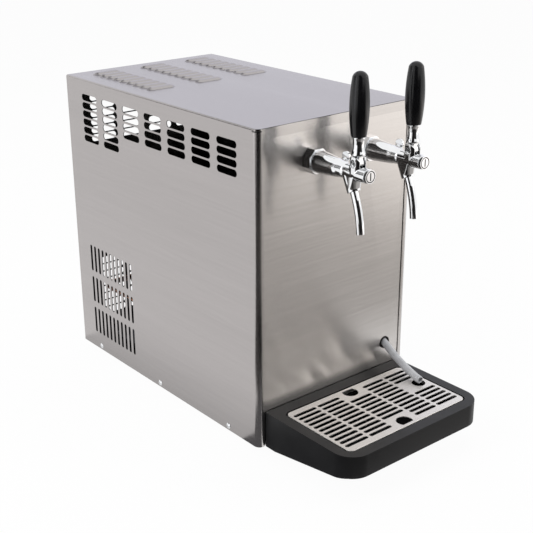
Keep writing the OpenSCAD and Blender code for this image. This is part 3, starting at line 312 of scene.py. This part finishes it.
def new_group(name):
    """A finish group: place, two tones and two roughnesses in, tone, roughness and height out."""
    tree = bpy.data.node_groups.new(name, "ShaderNodeTree")
    for way, label, kind in (
        ("INPUT", "Place", "Vector"),
        ("INPUT", "Dark", "Color"),
        ("INPUT", "Light", "Color"),
        ("INPUT", "Smooth", "Float"),
        ("INPUT", "Rough", "Float"),
        ("OUTPUT", "Tone", "Color"),
        ("OUTPUT", "Roughness", "Float"),
        ("OUTPUT", "Height", "Float"),
    ):
        tree.interface.new_socket(label, in_out=way, socket_type=f"NodeSocket{kind}")
    return tree, put(tree, "NodeGroupInput").outputs, put(tree, "NodeGroupOutput").inputs


def group_out(tree, given, out, share, gloss, height):
    tree.links.new(between(tree, share, given["Dark"], given["Light"]), out["Tone"])
    roughness = spread(tree, gloss, NOISE_LOW, NOISE_HIGH, given["Smooth"], given["Rough"])
    tree.links.new(roughness, out["Roughness"])
    tree.links.new(height, out["Height"])


def brushed_group():
    """Fine scratches with broad bands; the stretch of the place makes them run one way."""
    tree, given, out = new_group("brushed")
    fine = noise(tree, given["Place"], scale=1.0, detail=5.0, rough=0.62)
    broad = noise(tree, given["Place"], scale=0.05, detail=2.0, rough=0.5)
    share = spread(tree, average(tree, fine, broad, share=0.45), low=0.34, high=0.66)
    group_out(tree, given, out, share, fine, fine)
    return tree


def moulded_group():
    """The pebbled skin of moulded plastic, rubber and foam."""
    tree, given, out = new_group("moulded")
    pebble = put(tree, "ShaderNodeTexVoronoi", feature="SMOOTH_F1")
    pebble.inputs["Scale"].default_value = 1.0
    tree.links.new(given["Place"], pebble.inputs["Vector"])
    broad = noise(tree, given["Place"], scale=0.02, detail=3.0, rough=0.6)
    share = spread(tree, broad, NOISE_LOW, NOISE_HIGH)
    group_out(tree, given, out, share, broad, pebble.outputs["Distance"])
    return tree


def handled_group():
    """Smears and small pits on polished and handled surfaces."""
    tree, given, out = new_group("handled")
    smear = noise(tree, given["Place"], scale=1.0, detail=4.0, rough=0.55)
    pits = noise(tree, given["Place"], scale=14.0, detail=2.0, rough=0.5)
    group_out(tree, given, out, spread(tree, smear, NOISE_LOW, NOISE_HIGH), smear, pits)
    return tree


def spangled_group():
    """The flakes of zinc-coated sheet."""
    tree, given, out = new_group("spangled")
    flake = put(tree, "ShaderNodeTexVoronoi", feature="F1")
    flake.inputs["Scale"].default_value = 1.0
    tree.links.new(given["Place"], flake.inputs["Vector"])
    split = put(tree, "ShaderNodeSeparateColor")
    tree.links.new(flake.outputs["Color"], split.inputs["Color"])
    fine = noise(tree, given["Place"], scale=6.0, detail=3.0, rough=0.6)
    share = average(tree, split.outputs["Red"], fine, share=0.4)
    group_out(tree, given, out, share, share, fine)
    return tree


GROUPS = {
    "brushed": brushed_group(),
    "moulded": moulded_group(),
    "handled": handled_group(),
    "spangled": spangled_group(),
}


def finish(name, group, scale, dark, light, smooth, rough, metallic=0.0, bump=0.0, depth=0.0, **plain):
    """A material with its tone, roughness and relief from one of the finish groups; depth in millimetres."""
    material, tree, shader = new_material(name)
    place = put(tree, "ShaderNodeTexCoord")
    stretch = put(tree, "ShaderNodeMapping")
    stretch.inputs["Scale"].default_value = scale if isinstance(scale, tuple) else (scale,) * 3
    tree.links.new(place.outputs["Object"], stretch.inputs["Vector"])
    made = put(tree, "ShaderNodeGroup", node_tree=GROUPS[group])
    tree.links.new(stretch.outputs["Vector"], made.inputs["Place"])
    made.inputs["Dark"].default_value = (*dark, 1)
    made.inputs["Light"].default_value = (*light, 1)
    made.inputs["Smooth"].default_value = smooth
    made.inputs["Rough"].default_value = rough
    tree.links.new(made.outputs["Tone"], shader.inputs["Base Color"])
    tree.links.new(made.outputs["Roughness"], shader.inputs["Roughness"])
    shader.inputs["Metallic"].default_value = metallic
    if bump:
        relief = put(tree, "ShaderNodeBump")
        relief.inputs["Strength"].default_value = bump
        relief.inputs["Distance"].default_value = depth * MM
        tree.links.new(made.outputs["Height"], relief.inputs["Height"])
        tree.links.new(relief.outputs["Normal"], shader.inputs["Normal"])
    for label, value in plain.items():
        shader.inputs[label.replace("_", " ")].default_value = value
    return material


def brush_along(material, turn):
    """Stretches the highlights across the brushing, from the piece's own map."""
    tree = material.node_tree
    shader = tree.nodes["Principled BSDF"]
    lay = put(tree, "ShaderNodeTangent", direction_type="UV_MAP", uv_map="brush")
    tree.links.new(lay.outputs["Tangent"], shader.inputs["Tangent"])
    shader.inputs["Anisotropic Rotation"].default_value = turn


def map_brush(piece):
    """The map that the brushing of a sheet follows."""
    edit(piece)
    bpy.ops.uv.cube_project(cube_size=1.0)
    leave()
    piece.data.uv_layers.active.name = "brush"


cover_steel = finish(
    "cover_steel", "brushed", scale=(420, 9, 420), dark=(0.425, 0.402, 0.397), light=(0.462, 0.437, 0.432),
    smooth=0.2, rough=0.27, metallic=1.0, bump=0.03, depth=0.05,
)
panel_steel = finish(
    "panel_steel", "brushed", scale=(5, 420, 420), dark=(0.61, 0.585, 0.565), light=(0.66, 0.635, 0.615),
    smooth=0.205, rough=0.225, metallic=1.0, bump=0.012, depth=0.05, Anisotropic=0.94,
)
# The panel's brushed steel, darker, for the cover's front returns: the brushing is the real finish, the
# darker tone is painted shade.
band_steel_painted_shade = finish(
    "band_steel_painted_shade", "brushed", scale=(5, 420, 420), dark=(0.555, 0.532, 0.515), light=(0.6, 0.577, 0.56),
    smooth=0.205, rough=0.225, metallic=1.0, bump=0.012, depth=0.05, Anisotropic=0.94,
)
for sheet in (panel_steel, band_steel_painted_shade):
    brush_along(sheet, turn=0.25)
# Painted shade: a near-black metal for faces that lie in shade, such as the cabinet's inner faces, the vent
# slots' cut walls, the roof's front fold and the grooves in the taps' end caps.
painted_shade_metal = finish(
    "painted_shade_metal", "spangled", scale=120, dark=(0.06, 0.06, 0.06), light=(0.09, 0.09, 0.09),
    smooth=0.45, rough=0.6, metallic=1.0, bump=0.04, depth=0.05,
)
grate_steel = finish(
    "grate_steel", "brushed", scale=(9, 420, 420), dark=(0.8, 0.775, 0.75), light=(0.9, 0.875, 0.85),
    smooth=0.48, rough=0.56, metallic=1.0, bump=0.05, depth=0.05,
)
zinc = finish(
    "zinc", "spangled", scale=150, dark=(0.42, 0.43, 0.44), light=(0.6, 0.61, 0.62),
    smooth=0.3, rough=0.5, metallic=1.0, bump=0.04, depth=0.05,
)
aluminium = finish(
    "aluminium", "brushed", scale=(300, 20, 300), dark=(0.6, 0.61, 0.62), light=(0.76, 0.77, 0.78),
    smooth=0.3, rough=0.42, metallic=1.0,
)
chrome = finish(
    "chrome", "handled", scale=60, dark=(0.86, 0.87, 0.885), light=(0.9, 0.905, 0.915),
    smooth=0.03, rough=0.075, metallic=1.0,
)
brass = finish(
    "brass", "handled", scale=80, dark=(0.6, 0.44, 0.2), light=(0.76, 0.58, 0.3),
    smooth=0.18, rough=0.34, metallic=1.0,
)
copper = finish(
    "copper", "handled", scale=50, dark=(0.58, 0.27, 0.15), light=(0.78, 0.42, 0.27),
    smooth=0.2, rough=0.38, metallic=1.0,
)
grip_black = finish(
    "grip_black", "handled", scale=45, dark=(0.003, 0.003, 0.0035), light=(0.006, 0.006, 0.007),
    smooth=0.16, rough=0.24, Specular_IOR_Level=0.42,
)
tray_black = finish(
    "tray_black", "moulded", scale=1500, dark=(0.004, 0.004, 0.0048), light=(0.007, 0.007, 0.0078),
    smooth=0.4, rough=0.5, bump=0.12, depth=0.12, Specular_IOR_Level=0.42,
)
# Painted shade: the tray's black, darker and less glossy, for the well under the grate.
well_painted_shade = finish(
    "well_painted_shade", "moulded", scale=1500, dark=(0.003, 0.003, 0.0034), light=(0.005, 0.005, 0.0056),
    smooth=0.55, rough=0.65, bump=0.12, depth=0.12, Specular_IOR_Level=0.08,
)
black_plastic = finish(
    "black_plastic", "moulded", scale=1500, dark=(0.009, 0.009, 0.01), light=(0.016, 0.016, 0.017),
    smooth=0.38, rough=0.5, bump=0.12, depth=0.12, Specular_IOR_Level=0.35,
)
white_plastic = finish(
    "white_plastic", "moulded", scale=1300, dark=(0.7, 0.7, 0.68), light=(0.8, 0.8, 0.78),
    smooth=0.3, rough=0.42, bump=0.06, depth=0.1,
)
rubber = finish(
    "rubber", "moulded", scale=1100, dark=(0.012, 0.012, 0.012), light=(0.022, 0.021, 0.02),
    smooth=0.6, rough=0.78, bump=0.2, depth=0.2, Specular_IOR_Level=0.3,
)
iron_black = finish(
    "iron_black", "moulded", scale=500, dark=(0.01, 0.01, 0.011), light=(0.018, 0.018, 0.02),
    smooth=0.28, rough=0.42, bump=0.1, depth=0.2, Specular_IOR_Level=0.4,
)
hose_pvc = finish(
    "hose_pvc", "handled", scale=90, dark=(0.5, 0.505, 0.525), light=(0.59, 0.595, 0.615),
    smooth=0.24, rough=0.36, bump=0.05, depth=0.2,
)
foam = finish(
    "foam", "moulded", scale=700, dark=(0.66, 0.58, 0.38), light=(0.8, 0.73, 0.54),
    smooth=0.75, rough=0.9, bump=0.4, depth=0.5,
)
switch_red = finish(
    "switch_red", "moulded", scale=1500, dark=(0.42, 0.02, 0.015), light=(0.52, 0.035, 0.025),
    smooth=0.22, rough=0.32,
)

# The finish of each material slot in the record
FINISH = {
    "steel_cover": cover_steel, "steel_panel": panel_steel, "zinc_sheet": zinc, "grate_steel": grate_steel,
    "chrome": chrome, "brass": brass, "copper": copper, "grip_black": grip_black, "tray_black": tray_black,
    "black_plastic": black_plastic, "white_plastic": white_plastic, "rubber": rubber, "hose_grey": hose_pvc,
    "foam": foam, "aluminium": aluminium, "iron_black": iron_black, "switch_red": switch_red,
}

# Drain hose: its route repeated from the solid, from the stub inside through the grommet to the grate.
# Each step is how far it lies behind the front and how high over the feet, in millimetres.
HOSE_WALL = 1.8 * MM
HOSE_DIAMETER = 10 * MM
HOSE_X, DRAIN_X, DRAIN_OUT = 91, 86, 68.1
HOSE_ROUTE = (
    (22, 87), (17, 87), (12, 85.7), (7, 83.4), (2, 80.7), (-3, 78), (-8.5, 75.2), (-16, 71.2), (-25, 66.8),
    (-34, 63.1), (-43, 59.9), (-51, 57.3), (-57, 55.5), (-62, 54.2), (-67, 53.4), (-71, 53.1),
)
HOSE_WELD = 0.01 * MM
HOSE_EASE = 0.4
HOSE_RIM = radians(60)
HOSE_ROUND = radians(50)


def hose_point(behind, height):
    across = HOSE_X + max(0, -behind) / DRAIN_OUT * (DRAIN_X - HOSE_X)
    return Vector((across * MM, front_y + behind * MM, foot_z + height * MM))


def make_hose():
    """The soft drain tube with its bore."""
    route = [hose_point(*step) for step in HOSE_ROUTE]
    line = bpy.data.curves.new("drain_hose_line", "CURVE")
    line.dimensions = "3D"
    line.bevel_depth = HOSE_DIAMETER / 2
    line.bevel_resolution = 8
    line.resolution_u = 6
    spline = line.splines.new("BEZIER")
    spline.bezier_points.add(len(route) - 1)
    for knot, point in zip(spline.bezier_points, route):
        knot.co = point
        knot.handle_left_type = knot.handle_right_type = "AUTO"
    hose = bpy.data.objects.new("drain_hose_tube", line)
    bpy.context.scene.collection.objects.link(hose)
    take(hose)
    bpy.ops.object.convert(target="MESH")
    hose = bpy.context.object
    edit(hose)
    bpy.ops.mesh.remove_doubles(threshold=HOSE_WELD)
    bpy.ops.mesh.normals_make_consistent(inside=False)
    leave()
    apply_modifier(hose, "SOLIDIFY", thickness=HOSE_WALL, offset=-1, use_rim=True)
    ease_edges(hose, HOSE_EASE, HOSE_RIM)
    smooth_faces(hose, HOSE_ROUND)
    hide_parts("drain_hose")
    finish_piece(hose, hose_pvc, nodes["drain_hose"]["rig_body"])
    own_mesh(hose)


make_hose()

# Width of each solid's eased edges, in millimetres
EASE = {
    "drip_tray": 0.9, "drip_grate": 0.3, "power_inlet": 0.5, "power_switch": 0.5, "power_rocker": 0.4,
    "rubber_feet": 0.8, "tap_collars": 0.4, "flow_lever_left": 0.6, "flow_lever_right": 0.6,
    "tap_end_caps": 0.25, "terminal_cover": 1.5, "thermostat": 1.0, "cold_box": 1.5, "cold_box_lid": 1.5,
    "chill_block": 1.0, "hose_grommet": 0.3, "beer_inlets": 0.4, "fan_motor": 0.5, "compressor_mounts": 0.6,
    "shank_nuts": 0.6, "cover_screws": 0.2, "base_pan": 0.3, "rear_panel": 0.2, "tray_guides": 0.2,
}
CAST = {"tap_body_left", "tap_body_right", "handle_stem_left", "handle_stem_right"}

CUT_EDGE = 0.8 * SHEET
FRONT_SKIN = 6 * TOUCH
FOLD_WIDTH = 1.0 * MM
FOLD_REACH = 1.2 * MM
LIP_WIDTH = 0.9 * MM
ROUND_STEPS = 3
PANEL_FOLD = 2.0 * MM
PANEL_TUCK = 2.2 * MM
PANEL_BACK = 0.65 * MM
WELL_WALL = 9.0 * MM
WELL_RIM = 4 * TOUCH
GRATE_CORNER = 8.0 * MM
GRATE_RIM = SHEET / 4
CORNER_SLACK = 2 * TOUCH
GROOVE_HALF = 6.9 * MM
GROOVE_START = 4 * TOUCH
GROOVE_END = 1.5 * MM
FACING = 0.9
LEANING = 0.3
SIDEWAYS = 0.5


def facing_in(middle, normal):
    """Faces turned to the inside of the cabinet, but not the cut edges round the front; they are painted dark
    as shade.
    """
    return normal.dot(middle - cabinet_middle) < -TOUCH and middle.y > front_y + CUT_EDGE


def on_front(middle, normal):
    """The front faces of the cover's returns, which get the brushed panel steel made darker, partly a real
    finish and partly painted shade.
    """
    return normal.y < -FACING and middle.y < front_y + FRONT_SKIN


def on_fold(middle, normal):
    """The rounded fold between the roof and the front return, painted dark as the shade line of the seam
    there.
    """
    return middle.y < front_y + FOLD_REACH and normal.z > LEANING and normal.y < -LEANING


def in_vent(middle, normal):
    """The cut walls of the openings through the two side sheets, painted dark as shade so the slots look
    black.
    """
    depth = cover_high.x - abs(middle.x)
    cut = TOUCH < depth < SHEET - TOUCH and abs(normal.x) < SIDEWAYS
    return cut and middle.z > cover_low.z + TOUCH


def in_well(middle, normal):
    """The inner faces of the tray, under the grate and round its edge, which get a darker, duller black as
    painted shade.
    """
    return (
        tray_low.x + WELL_WALL < middle.x < tray_high.x - WELL_WALL
        and tray_low.y + WELL_WALL < middle.y
        and tray_low.z + SHEET < middle.z < tray_high.z - WELL_RIM
    )


def in_groove(middle, normal):
    """The walls and floors of the grooves in the taps' end caps, painted dark as the shade in the grooves."""
    return abs(middle.z - tap_z) < GROOVE_HALF and cap_face + GROOVE_START < middle.y < cap_face + GROOVE_END


def fold_cover(cover):
    """Rounds the fold between the roof and the front return."""
    bevel_at(
        cover, lambda p: p.y < front_y + TOUCH and p.z > cover_top - TOUCH, FOLD_WIDTH, ROUND_STEPS,
    )


def tuck_edges(panel):
    """Brings the panel's folded edges behind the returns that frame it, so no gap shows."""
    low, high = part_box("front_panel")
    fold = PANEL_FOLD + TOUCH
    for chosen, move in (
        (lambda p: p.x < low.x + fold, (-PANEL_TUCK, 0, 0)),
        (lambda p: p.x > high.x - fold, (PANEL_TUCK, 0, 0)),
        (lambda p: p.z > high.z - fold, (0, 0, PANEL_TUCK)),
        (lambda p: p.x < low.x or p.x > high.x or p.z > high.z - fold, (0, PANEL_BACK, 0)),
    ):
        move_at(panel, chosen, move)


def near_corner(p, low, high):
    """Whether a point lies on one of the grate's four rounded corners."""
    across = max(low.x + GRATE_CORNER - p.x, p.x - high.x + GRATE_CORNER)
    along = max(low.y + GRATE_CORNER - p.y, p.y - high.y + GRATE_CORNER)
    off = abs((across ** 2 + along ** 2) ** 0.5 - GRATE_CORNER)
    return across > 0 and along > 0 and off < CORNER_SLACK


def lip_grate(grate):
    """Rounds the grate's outer upper edge, which catches the light."""
    low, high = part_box("drip_grate")

    def on_lip(p):
        rim = min(p.x - low.x, high.x - p.x, p.y - low.y, high.y - p.y) < GRATE_RIM
        return p.z > high.z - TOUCH and (rim or near_corner(p, low, high))

    bevel_at(grate, on_lip, LIP_WIDTH, ROUND_STEPS)


SHAPED = {"wrap_cover": fold_cover, "front_panel": tuck_edges, "drip_grate": lip_grate}
MAPPED = {"front_panel", "wrap_cover"}
# Faces given darker materials as painted shade: inner faces, the roof's front fold, the vent walls, the
# tray's well and the cap grooves; the cover's front returns get the darker band steel, partly painted shade.
PAINTED = {
    "wrap_cover": (
        (painted_shade_metal, facing_in), (band_steel_painted_shade, on_front), (painted_shade_metal, on_fold), (painted_shade_metal, in_vent),
    ),
    "rear_panel": ((painted_shade_metal, facing_in),),
    "base_pan": ((painted_shade_metal, facing_in),),
    "drip_tray": ((well_painted_shade, in_well),),
    "tap_end_caps": ((painted_shade_metal, in_groove),),
}

for node, slot in SLOT.items():
    if node == "drain_hose":
        continue
    if node in CAST:
        cast(node, FINISH[slot])
        continue
    piece = dress(node, FINISH[slot], EASE.get(node), SHAPED.get(node))
    if node in MAPPED:
        map_brush(piece)
    for material, chosen in PAINTED.get(node, ()):
        paint(piece, material, chosen)

# Studio: lamps, cards that only reflections see, floor and world, in metres.
# Cards on the floor lie in three layers, so that the upper ones cover the lower ones.
FLOOR_CARD_Z = 0.003
CORNER_SHADE_Z = 0.006
TAP_SHADE_Z = 0.009
CARD_HALF = 0.5
BLACK = (0.012, 0.011, 0.011)
WARM = (1, 0.955, 0.92)
SLAT_COUNT = 4
SLAT_LOW = 0.62
SLAT_RISE = 0.3
FLOOR_SIZE = 30
FLOOR_TONE = (0.8, 0.8, 0.8, 1)
FLOOR_ROUGH = 0.9
FLOOR_WHITE = 0.96
WHITE = (1, 1, 1, 1)
SOFT_LIGHT = 0.4


def softbox(name, place, aim, size, power, color=(1, 1, 1)):
    """A soft lamp that lights the object and leaves the reflections to the cards."""
    lamp = bpy.data.lights.new(name, "AREA")
    lamp.shape = "RECTANGLE"
    lamp.size, lamp.size_y = size
    lamp.energy = power
    lamp.color = color
    body = bpy.data.objects.new(name, lamp)
    body.location = place
    body.rotation_euler = (Vector(aim) - Vector(place)).to_track_quat("-Z", "Y").to_euler()
    body.visible_glossy = False
    bpy.context.scene.collection.objects.link(body)


def card(name, place, size, tone, aim=None, turn=0.0):
    """A card of one tone that only reflections see. It faces the aim, or lies flat with a turn."""
    bpy.ops.object.select_all(action="DESELECT")
    bpy.ops.mesh.primitive_plane_add(size=2 * CARD_HALF)
    made = bpy.context.object
    made.name = name
    made.scale = (*size, 1)
    made.location = place
    made.rotation_euler.z = turn
    if aim:
        made.rotation_euler = (Vector(aim) - Vector(place)).to_track_quat("Z", "Y").to_euler()
    for ray in ("camera", "diffuse", "transmission", "shadow", "volume_scatter"):
        setattr(made, f"visible_{ray}", False)
    material, tree, _ = new_material(name)
    glow = put(tree, "ShaderNodeEmission")
    glow.inputs["Color"].default_value = (*tone, 1)
    tree.links.new(glow.outputs[0], tree.nodes["Material Output"].inputs[0])
    made.data.materials.append(material)
    return tree, glow


def floor_card(name, low, high, tone, steps=()):
    """A card on the floor, with its tone graded across X where steps give (x, share) pairs."""
    middle = ((low[0] + high[0]) / 2, (low[1] + high[1]) / 2)
    width = high[0] - low[0]
    tree, glow = card(name, (*middle, FLOOR_CARD_Z), (width, high[1] - low[1]), tone)
    if not steps:
        return
    place = put(tree, "ShaderNodeTexCoord")
    split = put(tree, "ShaderNodeSeparateXYZ")
    tree.links.new(place.outputs["Object"], split.inputs[0])
    ramp = put(tree, "ShaderNodeValToRGB")
    stops = ramp.color_ramp.elements
    while len(stops) < len(steps):
        stops.new(0.5)
    for stop, (x, share) in zip(stops, steps):
        stop.position = (x - low[0]) / width
        stop.color = (share, share, share, 1)
    tree.links.new(spread(tree, split.outputs["X"], -CARD_HALF, CARD_HALF), ramp.inputs[0])
    tree.links.new(ramp.outputs["Color"], glow.inputs["Strength"])


def white_rays(tree):
    """One where the camera, a mirror or glass looks, and nothing for soft light."""
    path = put(tree, "ShaderNodeLightPath")
    seen = path.outputs["Is Camera Ray"]
    for ray in ("Is Glossy Ray", "Is Transmission Ray"):
        either = put(tree, "ShaderNodeMath", operation="MAXIMUM")
        tree.links.new(seen, either.inputs[0])
        tree.links.new(path.outputs[ray], either.inputs[1])
        seen = either.outputs[0]
    return seen


def make_floor():
    """A pale floor that keeps the object's shadow and looks white to the camera and in mirrors."""
    bpy.ops.object.select_all(action="DESELECT")
    bpy.ops.mesh.primitive_plane_add(size=FLOOR_SIZE)
    floor = bpy.context.object
    floor.name = "floor"
    material, tree, shader = new_material("floor_white")
    shader.inputs["Base Color"].default_value = FLOOR_TONE
    shader.inputs["Roughness"].default_value = FLOOR_ROUGH
    glow = put(tree, "ShaderNodeEmission")
    mix = put(tree, "ShaderNodeMixShader")
    share = put(tree, "ShaderNodeMath", operation="MULTIPLY")
    share.inputs[1].default_value = FLOOR_WHITE
    tree.links.new(white_rays(tree), share.inputs[0])
    tree.links.new(share.outputs[0], mix.inputs[0])
    tree.links.new(shader.outputs[0], mix.inputs[1])
    tree.links.new(glow.outputs[0], mix.inputs[2])
    tree.links.new(mix.outputs[0], tree.nodes["Material Output"].inputs[0])
    floor.data.materials.append(material)


def make_world():
    """White to the camera and in mirrors, and dimmer as soft light."""
    world = bpy.data.worlds.new("studio")
    bpy.context.scene.world = world
    world.use_nodes = True
    tree = world.node_tree
    dim = tree.nodes["Background"]
    dim.inputs[0].default_value = WHITE
    dim.inputs[1].default_value = SOFT_LIGHT
    white = put(tree, "ShaderNodeBackground")
    white.inputs[0].default_value = WHITE
    mix = put(tree, "ShaderNodeMixShader")
    tree.links.new(white_rays(tree), mix.inputs[0])
    tree.links.new(dim.outputs[0], mix.inputs[1])
    tree.links.new(white.outputs[0], mix.inputs[2])
    tree.links.new(mix.outputs[0], tree.nodes["World Output"].inputs[0])


softbox("right_softbox", place=(1.7, -1.7, 0.9), aim=(0.1, -0.2, 0.3), size=(1.1, 1.1), power=22)
softbox("left_softbox", place=(-1.6, 0.1, 1.3), aim=(0, 0, 0.25), size=(0.7, 1.2), power=18)
softbox(
    "top_softbox", place=(0.2, 0.3, 2.2), aim=(0, 0, 0), size=(1.8, 1.8), power=22, color=(0.97, 0.98, 1.0),
)

floor_card("front_left_floor", low=(-1.8, -1.9), high=(-0.25, -0.32), tone=(0.12, 0.112, 0.108))
floor_card(
    "front_floor", low=(-0.25, -2.2), high=(1.75, -0.32), tone=WARM,
    steps=((-0.25, 0.12), (-0.05, 0.2), (0.04, 0.37), (0.6, 0.42), (0.92, 1.15), (1.35, 1.75)),
)
# Painted shadow seen in reflections: left_skirt and tray_skirt darken the floor beside the cabinet's left
# side and the tray, which the side, its front corner and the tray mirror.
floor_card(
    "left_skirt", low=(-0.22, -0.1), high=(-0.125, 0.3), tone=(1, 1, 1), steps=((-0.22, 0.96), (-0.14, 0.7)),
)
floor_card("tray_skirt", low=(-0.25, -0.32), high=(-0.12, -0.1), tone=(0.15, 0.15, 0.155))

# Dark cards near the taps, which the chrome mirrors
card(
    "corner_shade", place=(-0.68, -0.43, CORNER_SHADE_Z), size=(0.95, 0.42), tone=(0.07, 0.065, 0.063),
    turn=radians(27),
)
card("tap_shade", place=(-0.6, -0.88, TAP_SHADE_Z), size=(1.0, 0.2), tone=BLACK, turn=radians(-40))
card("tap_shade_near", place=(-0.2, -0.48, TAP_SHADE_Z), size=(0.44, 0.24), tone=BLACK)
card("tap_flag", place=(-0.34, -0.57, 0.52), size=(0.46, 0.64), tone=BLACK, aim=(0, -0.16, 0.52))
card("tap_hood", place=(-0.38, -0.55, 0.95), size=(0.4, 0.5), tone=BLACK)
card(
    "front_flag", place=(0.0, -0.7, 0.34), size=(0.34, 0.28), tone=(0.03, 0.028, 0.028),
    aim=(0.0, -0.2, 0.34),
)

# Cards behind and beside the cabinet, which the roof and the side mirror
for slat in range(SLAT_COUNT):
    height = SLAT_LOW + SLAT_RISE * slat
    card(
        f"back_left_slat_{slat}", place=(-1.3, 0.95, height), size=(1.2, 0.21), tone=BLACK,
        aim=(0, -0.2, height),
    )
card("back_high", place=(0.3, 1.25, 1.75), size=(0.5, 0.5), tone=(0.1, 0.1, 0.105), aim=(0, -0.2, 0.4))
card("right_panel", place=(1.5, -1.2, 0.95), size=(1.4, 0.8), tone=(1.7, 1.64, 1.6), aim=(0, -0.15, 0.4))
card("left_strip", place=(-1.6, 0.0, 0.75), size=(0.4, 1.5), tone=(1.9, 1.9, 1.97), aim=(0, -0.2, 0.4))
card("back_sky", place=(1.3, 1.64, 1.21), size=(2.2, 1.6), tone=(0.87, 0.875, 0.96), aim=(0, 0.06, 0.41))

make_floor()
make_world()
bpy.context.scene.view_settings.view_transform = "Standard"

bpy.context.view_layer.update()
